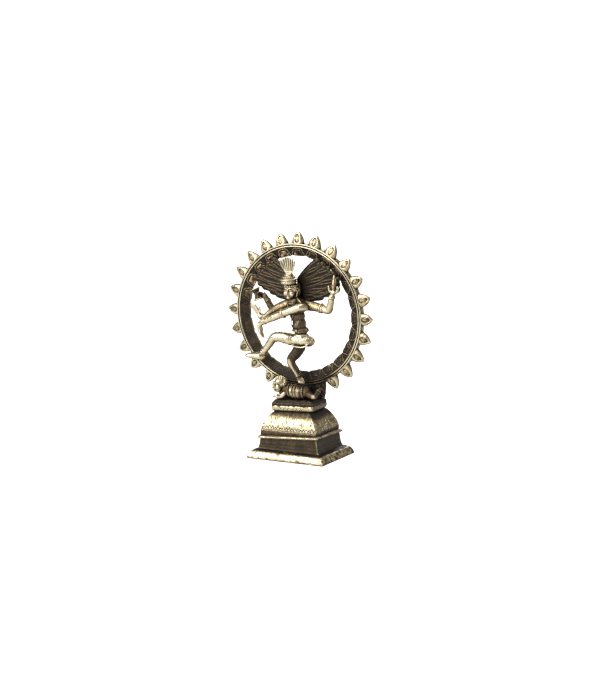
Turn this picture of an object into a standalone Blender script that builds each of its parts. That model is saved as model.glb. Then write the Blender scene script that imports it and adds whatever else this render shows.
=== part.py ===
"""Small brass nataraja: a dancing figure in a ring of flames, on a stepped pedestal.

Run with:  blender --background --python part.py   (or from Blender's text editor)

Frame: metres, +Z up, the dancer faces -Y.  The origin is on the ground, under the middle of
the pedestal.  Shapes are worked out in millimetres and turned into metres when each mesh is
finished, so every number below is a size that a maker could measure.
"""

import math

import bmesh
import bpy
from mathutils import Matrix, Vector

MM = 0.001
GAP = 0.3                     # the seam left between castings that meet

# Pedestal: half widths (X) and half depths (Y) of its tiers, and the heights they span.
FOOT_HALF = (17.7, 13.0)
FOOT_HEIGHT = 3.1
DADO_HALF = (13.5, 9.6)
DADO_TOP = 8.5
LEDGE_HALF = (13.9, 10.2)
LEDGE_TOP = 9.7
BELL_HALF = (13.1, 9.8)
BELL_TOP = 18.7
BELL_NECK_HALF = (8.6, 6.6)
ROLL_HALF = (9.5, 6.4)
ROLL_TOP = 22.0
SEAT_HALF = (8.9, 5.9)
SEAT_TOP = 23.2

# Screw that holds the pedestal's tiers and the fallen dwarf together, from below.
SCREW_AXIS = (0.8, -2.6)
SCREW_RADIUS = 1.2
SCREW_TOP = 25.2
BORE_RADIUS = 1.5
SCREW_HEAD_RADIUS = 2.4
SCREW_HEAD_HEIGHT = 1.0
COUNTERBORE_RADIUS = 2.9
COUNTERBORE_DEPTH = 2.4

# Ring of flames: it stands upright and turns about an axis along Y.
RING_CENTRE_Z = 57.16
RING_OUTER = 28.4
RING_RIM_INNER = 27.2
RING_INNER = 23.4
RING_FRONT = 0.8
RING_INNER_FRONT = 2.6
RING_BACK = 4.0
RING_STEPS = 72
FLAME_COUNT = 21
FLAME_STEP = math.radians(15.07)
FLAME_TIP = 33.5
FLAME_HALF_WIDTH = 2.45
FLAME_HALF_DEPTH = 1.6
FLAME_SUNK = 2.0              # how much of the flame's lump is cut away at the ring
FLAME_Y = 2.5

# Dancer: places of the joints (x, y, z) and the thickness of the limb there.
HIP_TOP = 49.6
TORSO_BOTTOM = HIP_TOP + GAP
HEAD_CENTRE = Vector((-0.5, -3.0, 67.5))
HEAD_HALF = Vector((3.0, 3.4, 3.8))
HEAD_CUT = 70.4
CROWN_CENTRE = (-1.0, -3.6)
BRIM_RADIUS = 3.5
BRIM_TOP = 72.3
CROWN_TOP = 74.2
CREST_FOOT = (-1.2, -3.5, CROWN_TOP + GAP)
CREST_HEIGHT = 6.0
FEATHERS = 7
HAIR_FRONT = 0.75
HAIR_BACK = 1.9

POLISHED = ((0.80, 0.66, 0.40), 0.28)
AGED = ((0.24, 0.18, 0.11), 0.45)
STEEL = ((0.55, 0.55, 0.56), 0.35)


# ---------------------------------------------------------------- scene and materials

def clear_scene():
    """Remove every object, so the script starts from nothing."""
    for thing in list(bpy.data.objects):
        bpy.data.objects.remove(thing, do_unlink=True)


def new_collection(name):
    """Make a collection under the scene's own."""
    made = bpy.data.collections.new(name)
    bpy.context.scene.collection.children.link(made)
    return made


def metal(name, finish):
    """A metallic material for one sub-part."""
    colour, roughness = finish
    made = bpy.data.materials.new(name)
    made.use_nodes = True
    shader = made.node_tree.nodes["Principled BSDF"]
    shader.inputs["Base Color"].default_value = (*colour, 1.0)
    shader.inputs["Metallic"].default_value = 1.0
    shader.inputs["Roughness"].default_value = roughness
    return made


def add_object(name, data, finish=None):
    """Put mesh or curve data in the statue's collection under the sub-part's name."""
    made = bpy.data.objects.new(name, data)
    STATUE.objects.link(made)
    if finish:
        data.materials.append(metal(name, finish))
    return made


def finish_mesh(name, bm, finish, smooth_below=35.0):
    """Turn a bmesh in millimetres into a named object in metres."""
    bmesh.ops.scale(bm, vec=(MM, MM, MM), verts=bm.verts)
    bmesh.ops.recalc_face_normals(bm, faces=bm.faces)
    mesh = bpy.data.meshes.new(name)
    bm.to_mesh(mesh)
    bm.free()
    mesh.shade_smooth()
    mesh.set_sharp_from_angle(angle=math.radians(smooth_below))
    return add_object(name, mesh, finish)


# ---------------------------------------------------------------- shape helpers

def superellipse(angle, half_x, half_y, squareness):
    """A point on a rounded rectangle; a larger squareness gives a sharper corner."""
    c, s = math.cos(angle), math.sin(angle)
    power = 2.0 / squareness
    return (math.copysign(half_x * abs(c) ** power, c), math.copysign(half_y * abs(s) ** power, s))


def stacked_sections(name, sections, finish, squareness=2.0, around=24):
    """Extrude one outline upwards through sections (z, centre x, centre y, half x, half y)."""
    bm = bmesh.new()
    ring = bmesh.ops.create_circle(bm, cap_ends=True, radius=1.0, segments=around)["verts"]
    angles = [math.atan2(v.co.y, v.co.x) for v in ring]
    place_section(ring, angles, sections[0], squareness)
    face = bm.faces[:][0]
    for section in sections[1:]:
        grown = bmesh.ops.extrude_face_region(bm, geom=[face])["geom"]
        bmesh.ops.delete(bm, geom=[face], context="FACES_KEEP_BOUNDARY")
        face = next(item for item in grown if isinstance(item, bmesh.types.BMFace))
        ring = order_like(face.verts, ring)
        place_section(ring, angles, section, squareness)
    bottom = [e for e in bm.edges if e.is_boundary]
    if bottom:
        bmesh.ops.holes_fill(bm, edges=bottom)
    return finish_mesh(name, bm, finish)


def order_like(verts, ring):
    """Sort freshly extruded vertices so that each follows the one it came from."""
    return [min(verts, key=lambda v, old=old: (v.co - old.co).length) for old in ring]


def place_section(ring, angles, section, squareness):
    """Move one ring of vertices onto its section's outline."""
    z, centre_x, centre_y, half_x, half_y = section
    for vert, angle in zip(ring, angles):
        x, y = superellipse(angle, half_x, half_y, squareness)
        vert.co = (centre_x + x, centre_y + y, z)


def tier(name, outline, finish, squareness=36.0, around=40):
    """One tier of the pedestal from (height, half width, half depth) steps."""
    sections = [(z, 0.0, 0.0, half_x, half_y) for z, half_x, half_y in outline]
    return stacked_sections(name, sections, finish, squareness, around)


def limb(name, joints, finish):
    """A rounded limb that follows its joints, each (x, y, z, radius)."""
    mesh = bpy.data.meshes.new(name)
    points = [(x * MM, y * MM, z * MM) for x, y, z, _ in joints]
    mesh.from_pydata(points, [(i, i + 1) for i in range(len(points) - 1)], [])
    made = add_object(name, mesh, finish)
    skin = made.modifiers.new("Skin", "SKIN")
    skin.use_smooth_shade = True
    for vert, joint in zip(mesh.skin_vertices[0].data, joints):
        vert.radius = (joint[3] * MM, joint[3] * MM)
    mesh.skin_vertices[0].data[0].use_root = True
    rounding = made.modifiers.new("Rounding", "SUBSURF")
    rounding.levels = 1
    rounding.render_levels = 1
    return made


def turned(name, profile, finish, steps, axis="Z"):
    """Turn a profile of (radius, height) points, running down its outer side."""
    mesh = bpy.data.meshes.new(name)
    last = len(profile) - 1
    edges = [(i, i + 1) for i in range(last)]
    if profile[0][0] > 0.0:
        edges.append((last, 0))
    mesh.from_pydata([(r * MM, 0.0, h * MM) for r, h in profile], edges, [])
    made = add_object(name, mesh, finish)
    screw = made.modifiers.new("Turn", "SCREW")
    screw.axis = axis
    screw.steps = steps
    screw.render_steps = steps
    screw.use_merge_vertices = True
    screw.merge_threshold = 0.00001
    screw.use_smooth_shade = True
    return made


def plate(name, outline, front, back, finish):
    """A flat plate in the XZ plane, between two depths, from an outline of (x, z) points."""
    curve = bpy.data.curves.new(name, "CURVE")
    curve.dimensions = "2D"
    curve.fill_mode = "BOTH"
    curve.extrude = (back - front) * 0.5 * MM
    spline = curve.splines.new("POLY")
    spline.points.add(len(outline) - 1)
    for point, (x, z) in zip(spline.points, outline):
        point.co = (x * MM, z * MM, 0.0, 1.0)
    spline.use_cyclic_u = True
    made = add_object(name, curve, finish)
    made.rotation_euler.x = math.radians(90.0)
    made.location.y = (front + back) * 0.5 * MM
    bpy.context.view_layer.update()
    return weld_curve(made)


def weld_curve(curve_object):
    """Replace a curve object with the closed mesh that it draws."""
    graph = bpy.context.evaluated_depsgraph_get()
    mesh = bpy.data.meshes.new_from_object(curve_object.evaluated_get(graph))
    bm = bmesh.new()
    bm.from_mesh(mesh)
    bmesh.ops.remove_doubles(bm, verts=bm.verts, dist=0.00001)
    bmesh.ops.recalc_face_normals(bm, faces=bm.faces)
    bm.to_mesh(mesh)
    bm.free()
    name = curve_object.name
    placed = curve_object.matrix_world.copy()
    curve = curve_object.data
    bpy.data.objects.remove(curve_object, do_unlink=True)
    bpy.data.curves.remove(curve)
    made = add_object(name, mesh)
    made.matrix_world = placed
    return made


def bead(name, centre, halves, finish, around=12, rings=8):
    """A rounded lump: a sphere stretched along X, Y and Z."""
    bm = bmesh.new()
    bmesh.ops.create_uvsphere(bm, u_segments=around, v_segments=rings, radius=1.0)
    bmesh.ops.scale(bm, vec=halves, verts=bm.verts)
    bmesh.ops.translate(bm, vec=centre, verts=bm.verts)
    return finish_mesh(name, bm, finish)


def cutter(name, radius, bottom, top):
    """A vertical cylinder on the screw's axis that only cuts other pieces."""
    bm = bmesh.new()
    bmesh.ops.create_cone(bm, cap_ends=True, segments=20, radius1=radius, radius2=radius,
                          depth=top - bottom)
    bmesh.ops.translate(bm, vec=(*SCREW_AXIS, (top + bottom) * 0.5), verts=bm.verts)
    made = finish_mesh(name, bm, None)
    STATUE.objects.unlink(made)
    CUTTERS.objects.link(made)
    made.hide_render = True
    made.display_type = "WIRE"
    return made


def drill(piece, tool):
    """Cut a hole in a piece with an exact Boolean."""
    cut = piece.modifiers.new("Bore", "BOOLEAN")
    cut.operation = "DIFFERENCE"
    cut.solver = "EXACT"
    cut.object = tool


# ---------------------------------------------------------------- pedestal

def build_pedestal():
    """Foot slab, dado, ledge, bell, roll and seat, each drilled for the screw."""
    foot_x, foot_y = FOOT_HALF
    dado_x, dado_y = DADO_HALF
    ledge_x, ledge_y = LEDGE_HALF
    roll_x, roll_y = ROLL_HALF
    seat_x, seat_y = SEAT_HALF
    tiers = [
        tier("foot_slab", [(0.0, foot_x, foot_y), (0.7, foot_x, foot_y),
                           (FOOT_HEIGHT - 0.5, foot_x - 1.0, foot_y - 0.9),
                           (FOOT_HEIGHT, foot_x - 1.6, foot_y - 1.4)], POLISHED),
        tier("dado_block", [(FOOT_HEIGHT + GAP, dado_x, dado_y),
                            (DADO_TOP, dado_x - 0.6, dado_y - 0.1)], AGED),
        tier("ledge_plate", [(DADO_TOP + GAP, ledge_x - 0.3, ledge_y - 0.3),
                             (DADO_TOP + 0.7, ledge_x, ledge_y),
                             (LEDGE_TOP - 0.3, ledge_x, ledge_y),
                             (LEDGE_TOP, ledge_x - 0.4, ledge_y - 0.4)], POLISHED),
        tier("bell_moulding", bell_outline(), POLISHED),
        tier("neck_roll", roll_outline(roll_x, roll_y), POLISHED, squareness=16.0),
        tier("seat_plate", [(ROLL_TOP + GAP, seat_x, seat_y),
                            (SEAT_TOP, seat_x - 0.3, seat_y - 0.3)], AGED),
    ]
    bore = cutter("bore_cutter", BORE_RADIUS, -1.0, SEAT_TOP + 4.0)
    for piece in tiers:
        drill(piece, bore)
    drill(tiers[0], cutter("counterbore_cutter", COUNTERBORE_RADIUS, -1.0, COUNTERBORE_DEPTH))
    return bore


def bell_outline():
    """The bell's sides swell just above the ledge, then curve in to its neck."""
    wide_x, wide_y = BELL_HALF
    neck_x, neck_y = BELL_NECK_HALF
    bottom = LEDGE_TOP + GAP
    steps = []
    for i in range(9):
        t = i / 8.0
        swell = math.cos(t * math.pi * 0.5) ** 0.8 if t < 1.0 else 0.0
        tuck = 0.25 * (1.0 - t) ** 6
        steps.append((bottom + t * (BELL_TOP - bottom),
                      neck_x + (wide_x - neck_x) * swell - tuck,
                      neck_y + (wide_y - neck_y) * swell - tuck))
    return steps


def roll_outline(half_x, half_y):
    """A cushion-edged slab: its sides are half rounds."""
    bottom = BELL_TOP + GAP
    rise = ROLL_TOP - bottom
    steps = []
    for i in range(7):
        angle = math.pi * i / 6.0
        inset = 1.1 * (1.0 - math.sin(angle))
        steps.append((bottom + rise * (1.0 - math.cos(angle)) * 0.5, half_x - inset, half_y - inset))
    return steps


def build_screw():
    """The screw from below: a flat head in the counterbore and a plain shank; its washer."""
    washer_low = COUNTERBORE_DEPTH - GAP - 0.5
    head_top = washer_low - GAP
    head_bottom = head_top - SCREW_HEAD_HEIGHT
    x, y = SCREW_AXIS
    screw = turned("fixing_screw", [(0.0, SCREW_TOP), (SCREW_RADIUS - 0.3, SCREW_TOP),
                                    (SCREW_RADIUS, SCREW_TOP - 0.3), (SCREW_RADIUS, head_top),
                                    (SCREW_HEAD_RADIUS, head_top),
                                    (SCREW_HEAD_RADIUS, head_bottom), (0.0, head_bottom)],
                   STEEL, 20)
    washer = turned("fixing_washer", [(SCREW_HEAD_RADIUS, washer_low + 0.5),
                                      (SCREW_HEAD_RADIUS, washer_low),
                                      (BORE_RADIUS, washer_low),
                                      (BORE_RADIUS, washer_low + 0.5)], STEEL, 20)
    for piece in (screw, washer):
        piece.location = (x * MM, y * MM, 0.0)


# ---------------------------------------------------------------- ring of flames

def build_ring():
    """The ring: a flat rim at the front and a sloping band inside it."""
    ring = turned("ring_band", [(RING_OUTER, -RING_FRONT), (RING_OUTER, -RING_BACK),
                                (RING_INNER, -RING_BACK + 0.3), (RING_INNER, -RING_INNER_FRONT),
                                (RING_RIM_INNER, -RING_FRONT)], AGED, RING_STEPS)
    ring.rotation_euler.x = math.radians(90.0)
    ring.location.z = RING_CENTRE_Z * MM


def build_flames():
    """The flames stand round the ring, the middle one at the top."""
    for i in range(FLAME_COUNT):
        angle = (i - (FLAME_COUNT - 1) // 2) * FLAME_STEP
        flame(f"flame_{i + 1:02d}", angle)


def flame(name, angle):
    """One leaf-shaped flame, flat where it meets the ring and pointed outside."""
    foot = RING_OUTER + GAP
    height = FLAME_TIP - foot + FLAME_SUNK
    bm = bmesh.new()
    bmesh.ops.create_uvsphere(bm, u_segments=10, v_segments=8, radius=1.0)
    for vert in bm.verts:
        up = (vert.co.z + 1.0) * 0.5
        fullness = 1.15 - 0.3 * up
        vert.co.x *= FLAME_HALF_WIDTH * fullness
        vert.co.y *= FLAME_HALF_DEPTH * fullness
        vert.co.z = foot - FLAME_SUNK + height * up
    cut = bm.verts[:] + bm.edges[:] + bm.faces[:]
    bmesh.ops.bisect_plane(bm, geom=cut, plane_co=(0.0, 0.0, foot), plane_no=(0.0, 0.0, 1.0),
                           clear_inner=True)
    bmesh.ops.holes_fill(bm, edges=[e for e in bm.edges if e.is_boundary])
    bmesh.ops.translate(bm, vec=(0.0, FLAME_Y, 0.0), verts=bm.verts)
    bmesh.ops.rotate(bm, cent=(0.0, 0.0, 0.0), matrix=Matrix.Rotation(angle, 3, "Y"), verts=bm.verts)
    bmesh.ops.translate(bm, vec=(0.0, 0.0, RING_CENTRE_Z), verts=bm.verts)
    return finish_mesh(name, bm, POLISHED)


def build_root():
    """The bracket that carries the ring: an arc on top, narrowing down to the seat."""
    reach = math.radians(24.5)
    radius = RING_OUTER + GAP
    arc = []
    for i in range(13):
        angle = reach * (1.0 - i / 6.0)
        arc.append((radius * math.sin(angle), RING_CENTRE_Z - radius * math.cos(angle)))
    foot = SEAT_TOP + GAP
    sides = [(-10.3, 28.0), (-8.4, foot), (8.4, foot), (10.3, 28.0)]
    plate("ring_root", arc + sides, 1.2, 3.9, AGED)


# ---------------------------------------------------------------- dancer

def build_body():
    """The trunk and the wrapped cloth round the hips."""
    stacked_sections("torso", [
        (TORSO_BOTTOM, 2.3, -1.4, 3.7, 2.4), (51.5, 2.0, -1.5, 3.3, 2.1), (53.3, 1.7, -1.6, 3.1, 1.9),
        (55.6, 1.3, -1.7, 3.3, 2.0), (58.2, 0.8, -1.8, 4.1, 2.2), (60.2, 0.5, -1.8, 4.6, 2.2),
        (61.6, 0.5, -1.7, 4.3, 2.0), (62.3, 0.5, -1.8, 2.6, 1.6), (62.9, 0.4, -2.0, 1.6, 1.5),
        (63.5, 0.3, -2.2, 1.4, 1.3)], AGED, 2.4)
    stacked_sections("hip_cloth", [
        (44.6, 2.4, -1.5, 3.2, 2.5), (45.3, 3.0, -1.4, 4.6, 3.2), (46.6, 3.4, -1.2, 5.2, 3.7),
        (48.0, 3.2, -1.2, 5.0, 3.5), (HIP_TOP, 2.6, -1.4, 3.9, 2.8)], POLISHED, 2.2)


def build_legs():
    """The bent leg that stands on the dwarf and the leg raised across the body."""
    limb("standing_leg", [(1.8, -1.6, 43.5, 2.6), (0.3, -2.2, 41.9, 2.5), (-2.0, -3.0, 39.6, 2.0),
                          (-1.2, -2.7, 37.4, 2.0), (0.0, -2.4, 35.4, 1.75),
                          (1.3, -2.0, 32.8, 1.2), (2.2, -2.9, 31.6, 1.3), (4.0, -4.3, 31.1, 1.1)],
         AGED)
    limb("raised_leg", [(-2.6, -2.4, 47.9, 2.7), (-6.0, -3.8, 49.0, 2.3), (-8.2, -4.4, 48.4, 2.1),
                        (-9.7, -4.2, 46.2, 2.0), (-11.8, -4.1, 43.8, 1.6),
                        (-13.4, -4.0, 41.6, 1.25), (-14.9, -4.0, 40.4, 1.4),
                        (-18.0, -4.1, 39.9, 1.3), (-20.9, -4.1, 39.8, 1.1)], POLISHED)


def build_arms():
    """Two front arms, one across the chest, and two back arms with the drum and the flame."""
    limb("front_left_arm", [(6.6, -3.6, 61.3, 1.4), (4.6, -6.0, 61.3, 1.8), (0.4, -6.0, 59.9, 1.75),
                            (-4.1, -5.8, 58.0, 1.6), (-8.6, -5.7, 56.0, 1.5),
                            (-12.7, -5.6, 54.3, 1.15), (-14.2, -5.6, 52.4, 1.25),
                            (-14.2, -5.6, 50.6, 1.15), (-12.9, -5.5, 48.9, 0.8)], POLISHED)
    limb("front_right_arm", [(-4.9, -2.0, 60.3, 1.8), (-8.0, -2.2, 58.9, 1.6),
                             (-11.0, -2.5, 57.0, 1.4), (-14.2, -3.0, 54.9, 1.05),
                             (-15.7, -3.4, 56.6, 1.25), (-17.8, -3.8, 59.3, 0.9)], POLISHED)
    limb("back_left_arm", [(5.6, 0.2, 61.6, 1.7), (9.0, 0.2, 61.1, 1.75), (11.6, 0.2, 60.5, 1.6),
                           (14.6, 0.1, 59.7, 1.5), (15.6, -0.3, 62.2, 1.35), (16.9, -0.9, 66.6, 1.1),
                           (18.0, -1.2, 69.0, 1.35), (18.8, -1.3, 70.8, 1.1)], POLISHED)
    limb("back_right_arm", [(-4.7, 1.3, 58.7, 1.4), (-8.6, 1.4, 58.2, 1.4), (-11.7, 1.4, 58.0, 1.3),
                            (-13.3, 1.3, 60.4, 1.2), (-15.0, 1.1, 63.2, 1.05),
                            (-15.8, 0.8, 64.6, 0.9)], AGED)


def build_attributes():
    """The hourglass drum in the back right hand and the flame in the back left hand."""
    half = 2.3
    drum = turned("hand_drum", [(0.0, half), (1.5, half), (1.75, half - 0.3), (1.3, 1.2), (0.8, 0.4),
                                (0.8, -0.4), (1.3, -1.2), (1.75, 0.3 - half), (1.5, -half),
                                (0.0, -half)], AGED, 16)
    drum.rotation_euler.y = math.radians(-22.0)
    drum.location = (-18.4 * MM, 0.3 * MM, 64.1 * MM)
    bead("hand_flame", (19.1, -1.2, 73.6), (0.9, 0.8, 1.9), POLISHED, around=10)


def build_head():
    """The head is cut level under the crown; the crown is turned; the crest is a feather fan."""
    bm = bmesh.new()
    bmesh.ops.create_uvsphere(bm, u_segments=18, v_segments=14, radius=1.0)
    bmesh.ops.scale(bm, vec=HEAD_HALF, verts=bm.verts)
    bmesh.ops.translate(bm, vec=HEAD_CENTRE, verts=bm.verts)
    cut = bm.verts[:] + bm.edges[:] + bm.faces[:]
    bmesh.ops.bisect_plane(bm, geom=cut, plane_co=(0.0, 0.0, HEAD_CUT), plane_no=(0.0, 0.0, 1.0),
                           clear_outer=True)
    bmesh.ops.holes_fill(bm, edges=[e for e in bm.edges if e.is_boundary])
    finish_mesh("head", bm, POLISHED)
    band = BRIM_RADIUS - 0.5
    crown = turned("crown", [(0.0, CROWN_TOP), (1.7, CROWN_TOP), (1.9, CROWN_TOP - 0.4),
                             (1.5, CROWN_TOP - 0.9), (2.1, BRIM_TOP + 0.3), (BRIM_RADIUS, BRIM_TOP),
                             (BRIM_RADIUS, BRIM_TOP - 0.7), (band, BRIM_TOP - 0.9),
                             (band, HEAD_CUT + GAP), (0.0, HEAD_CUT + GAP)], POLISHED, 24)
    crown.location = (CROWN_CENTRE[0] * MM, CROWN_CENTRE[1] * MM, 0.0)
    build_crest()


def build_crest():
    """Feathers spread from one foot; each ends in a round tip."""
    foot_x, foot_y, foot_z = CREST_FOOT
    spread = math.radians(30.0)
    steps = FEATHERS * 4
    outline = [(foot_x - 0.9, foot_z)]
    for i in range(steps + 1):
        along = i / steps
        angle = spread * (2.0 * along - 1.0)
        tip = abs(math.sin(along * FEATHERS * math.pi))
        reach = CREST_HEIGHT * (0.88 + 0.07 * tip + 0.05 * math.cos(angle * 2.5))
        outline.append((foot_x + reach * math.sin(angle), foot_z + reach * math.cos(angle)))
    outline.append((foot_x + 0.9, foot_z))
    plate("crest_fan", outline, foot_y - 0.6, foot_y + 0.6, POLISHED)


def build_hair():
    """Two fans of flying hair, from behind the head out onto the ring's sloping band."""
    seam = HEAD_CENTRE.x
    hair_fan("hair_fan_right", -26.0, -58.5, [(-12.6, 65.8), (-11.6, 64.6), (-6.6, 63.9),
                                              (seam - 2.5, 64.6), (seam - 0.2, 65.5),
                                              (seam - 0.2, 71.4), (-5.8, 72.0), (-7.6, 74.6)])
    hair_fan("hair_fan_left", 17.0, 62.0, [(13.4, 67.4), (12.2, 65.6), (5.4, 64.1),
                                           (seam + 2.5, 64.6), (seam + 0.2, 65.5),
                                           (seam + 0.2, 71.4), (2.2, 72.0), (4.4, 75.0)])


def hair_fan(name, start, end, inner):
    """One fan: an arc on the ring's band between two angles, then its inner outline."""
    reach = RING_INNER + 0.5
    arc = []
    for i in range(9):
        angle = math.radians(start + (end - start) * i / 8.0)
        arc.append((reach * math.sin(angle), RING_CENTRE_Z + reach * math.cos(angle)))
    plate(name, arc + inner, HAIR_FRONT, HAIR_BACK, AGED)


# ---------------------------------------------------------------- dwarf

def build_dwarf(bore):
    """The dwarf lies under the standing foot: head at the left, knees at the right."""
    body = limb("dwarf_body", [(-4.4, -3.7, 27.3, 1.5), (-2.6, -3.4, 26.9, 2.5),
                               (0.6, -3.1, 26.5, 2.9), (3.4, -3.0, 26.5, 2.9),
                               (5.8, -3.0, 26.7, 2.2)], AGED)
    drill(body, bore)
    bead("dwarf_head", (-6.9, -4.0, 29.0), (2.3, 2.2, 2.9), POLISHED, around=14, rings=10)
    limb("dwarf_arm", [(-4.3, -5.6, 25.4, 0.9), (-6.3, -5.4, 24.5, 0.8), (-8.0, -4.6, 24.4, 0.7)],
         POLISHED)
    limb("dwarf_leg", [(6.4, -3.2, 26.3, 1.6), (8.4, -3.9, 25.5, 1.4), (9.6, -3.4, 26.0, 1.2),
                       (10.7, -1.5, 28.4, 0.9)], AGED)


def build_statue():
    """Every sub-part, from the ground up."""
    bore = build_pedestal()
    build_screw()
    build_ring()
    build_flames()
    build_root()
    build_body()
    build_legs()
    build_arms()
    build_attributes()
    build_head()
    build_hair()
    build_dwarf(bore)


clear_scene()
STATUE = new_collection("brass_nataraja_statue")
CUTTERS = new_collection("cutters")
build_statue()
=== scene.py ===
# %% [markdown]
# # A small brass nataraja
#
# The statue is a dancer in a ring of flames, on a dwarf, on a stepped pedestal. It is cast brass:
# the hollows hold a brown-black patina, and the parts that hands and cloths reach are rubbed
# back to pale gold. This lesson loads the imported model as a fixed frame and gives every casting
# its fine surface. Shapes are worked out in millimetres, because the whole statue is only nine
# centimetres tall, and each mesh is scaled to metres as it is finished.

# %% Load the frame
import math
from functools import partial

import bmesh
import bpy
import numpy as np
from mathutils import Matrix, Vector, noise


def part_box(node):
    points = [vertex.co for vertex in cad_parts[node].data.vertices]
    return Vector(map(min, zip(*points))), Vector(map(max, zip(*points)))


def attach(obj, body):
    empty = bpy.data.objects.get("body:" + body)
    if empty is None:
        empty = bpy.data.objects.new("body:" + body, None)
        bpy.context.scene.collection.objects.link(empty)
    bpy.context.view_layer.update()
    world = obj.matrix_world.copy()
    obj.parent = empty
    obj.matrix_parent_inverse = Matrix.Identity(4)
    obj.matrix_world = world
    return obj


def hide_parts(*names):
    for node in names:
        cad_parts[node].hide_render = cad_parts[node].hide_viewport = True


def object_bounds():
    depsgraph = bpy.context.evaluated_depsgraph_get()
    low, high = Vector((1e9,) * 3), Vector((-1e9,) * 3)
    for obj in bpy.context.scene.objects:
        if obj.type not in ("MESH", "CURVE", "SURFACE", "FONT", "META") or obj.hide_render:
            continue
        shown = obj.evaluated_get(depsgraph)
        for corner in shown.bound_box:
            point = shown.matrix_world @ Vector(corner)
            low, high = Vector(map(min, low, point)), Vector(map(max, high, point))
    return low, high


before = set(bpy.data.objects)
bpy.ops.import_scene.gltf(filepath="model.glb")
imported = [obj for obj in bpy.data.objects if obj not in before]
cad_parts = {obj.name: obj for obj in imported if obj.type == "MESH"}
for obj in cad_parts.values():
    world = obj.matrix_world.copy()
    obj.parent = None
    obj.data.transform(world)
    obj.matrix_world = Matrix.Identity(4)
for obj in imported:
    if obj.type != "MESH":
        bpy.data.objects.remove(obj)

MM = 0.001
CAD_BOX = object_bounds()
print("the frame has", len(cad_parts), "nodes and stands", round(CAD_BOX[1].z / MM, 1), "mm tall")

# %% [markdown]
# ## Camera first
#
# The statue is seen from a little to its left and a little above, through a long lens, so its
# upright lines stay almost parallel. The camera is placed by angles round a point near the
# middle of the statue. A long lens far away shows the true proportions; a short one close up
# would swell the pedestal.

# %% Camera
VIEW_AZIMUTH = math.radians(30.63)
VIEW_ELEVATION = math.radians(11.63)
VIEW_ROLL = math.radians(-1.42)
VIEW_DISTANCE = 1.188
LENS = 154.3
AIM = Vector((0.0016, 0.0010, 0.473 * CAD_BOX[1].z))


def place_camera():
    """Stand the camera on a sphere round the aim point and look inwards."""
    data = bpy.data.cameras.new("camera")
    camera = bpy.data.objects.new("camera", data)
    bpy.context.scene.collection.objects.link(camera)
    flat = math.cos(VIEW_ELEVATION)
    back = Vector((math.sin(VIEW_AZIMUTH) * flat, -math.cos(VIEW_AZIMUTH) * flat,
                   math.sin(VIEW_ELEVATION)))
    camera.location = AIM + back * VIEW_DISTANCE
    turn = (-back).to_track_quat("-Z", "Y").to_matrix() @ Matrix.Rotation(VIEW_ROLL, 3, "Z")
    camera.rotation_euler = turn.to_euler()
    data.lens = LENS
    data.sensor_width = 36.0
    data.clip_start, data.clip_end = 0.01, 20.0
    bpy.context.scene.camera = camera
    return camera


print("camera at", [round(c, 3) for c in place_camera().location])

# %% [markdown]
# ## Small helpers for node trees
#
# Materials are built by code, so that each one can be read and changed. These helpers add one
# node at a time and return its output socket. A node group is made once and shared.

# %% Node helpers
def group(name, inputs, outputs):
    """A new shader node group with number inputs and the named outputs."""
    tree = bpy.data.node_groups.new(name, "ShaderNodeTree")
    for label, value in inputs:
        socket = tree.interface.new_socket(name=label, in_out="INPUT", socket_type="NodeSocketFloat")
        socket.default_value = value
    for label, kind in outputs:
        tree.interface.new_socket(name=label, in_out="OUTPUT", socket_type=kind)
    return tree, tree.nodes.new("NodeGroupInput").outputs, tree.nodes.new("NodeGroupOutput").inputs


def feed(tree, source, socket):
    """Link a socket, or set a plain number."""
    if isinstance(source, (int, float)):
        socket.default_value = source
    else:
        tree.links.new(source, socket)


def maths(tree, operation, first, second=0.0, clamp=False):
    """One Math node."""
    node = tree.nodes.new("ShaderNodeMath")
    node.operation = operation
    node.use_clamp = clamp
    feed(tree, first, node.inputs[0])
    feed(tree, second, node.inputs[1])
    return node.outputs[0]


def mottling(tree, scale, detail=5.0, stretch=(1.0, 1.0, 1.0)):
    """Noise in object space, from 0 to 1; stretch squeezes it along an axis."""
    place = tree.nodes.new("ShaderNodeTexCoord")
    mapping = tree.nodes.new("ShaderNodeMapping")
    mapping.inputs["Scale"].default_value = stretch
    texture = tree.nodes.new("ShaderNodeTexNoise")
    texture.inputs["Detail"].default_value = detail
    texture.inputs["Roughness"].default_value = 0.6
    tree.links.new(place.outputs["Object"], mapping.inputs["Vector"])
    tree.links.new(mapping.outputs["Vector"], texture.inputs["Vector"])
    feed(tree, scale, texture.inputs["Scale"])
    return texture.outputs["Fac"]


def ramp(tree, value, stops):
    """A colour ramp through (position, colour) stops."""
    node = tree.nodes.new("ShaderNodeValToRGB")
    elements = node.color_ramp.elements
    while len(elements) < len(stops):
        elements.new(0.5)
    for element, (position, colour) in zip(elements, stops):
        element.position = position
        element.color = (*colour, 1.0)
    tree.links.new(value, node.inputs["Fac"])
    return node.outputs["Color"]


# %% [markdown]
# ## Studio
#
# Polished metal shows what is around it, so the studio is part of the finish. A broad soft box
# at the front left gives the long pale highlights, a narrow one at the right draws the edges,
# weaker ones fill from the top and the back, and the room itself is dimmer, so the flanks fall
# off to brown. The backdrop that the camera sees is plain white paper.

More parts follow.
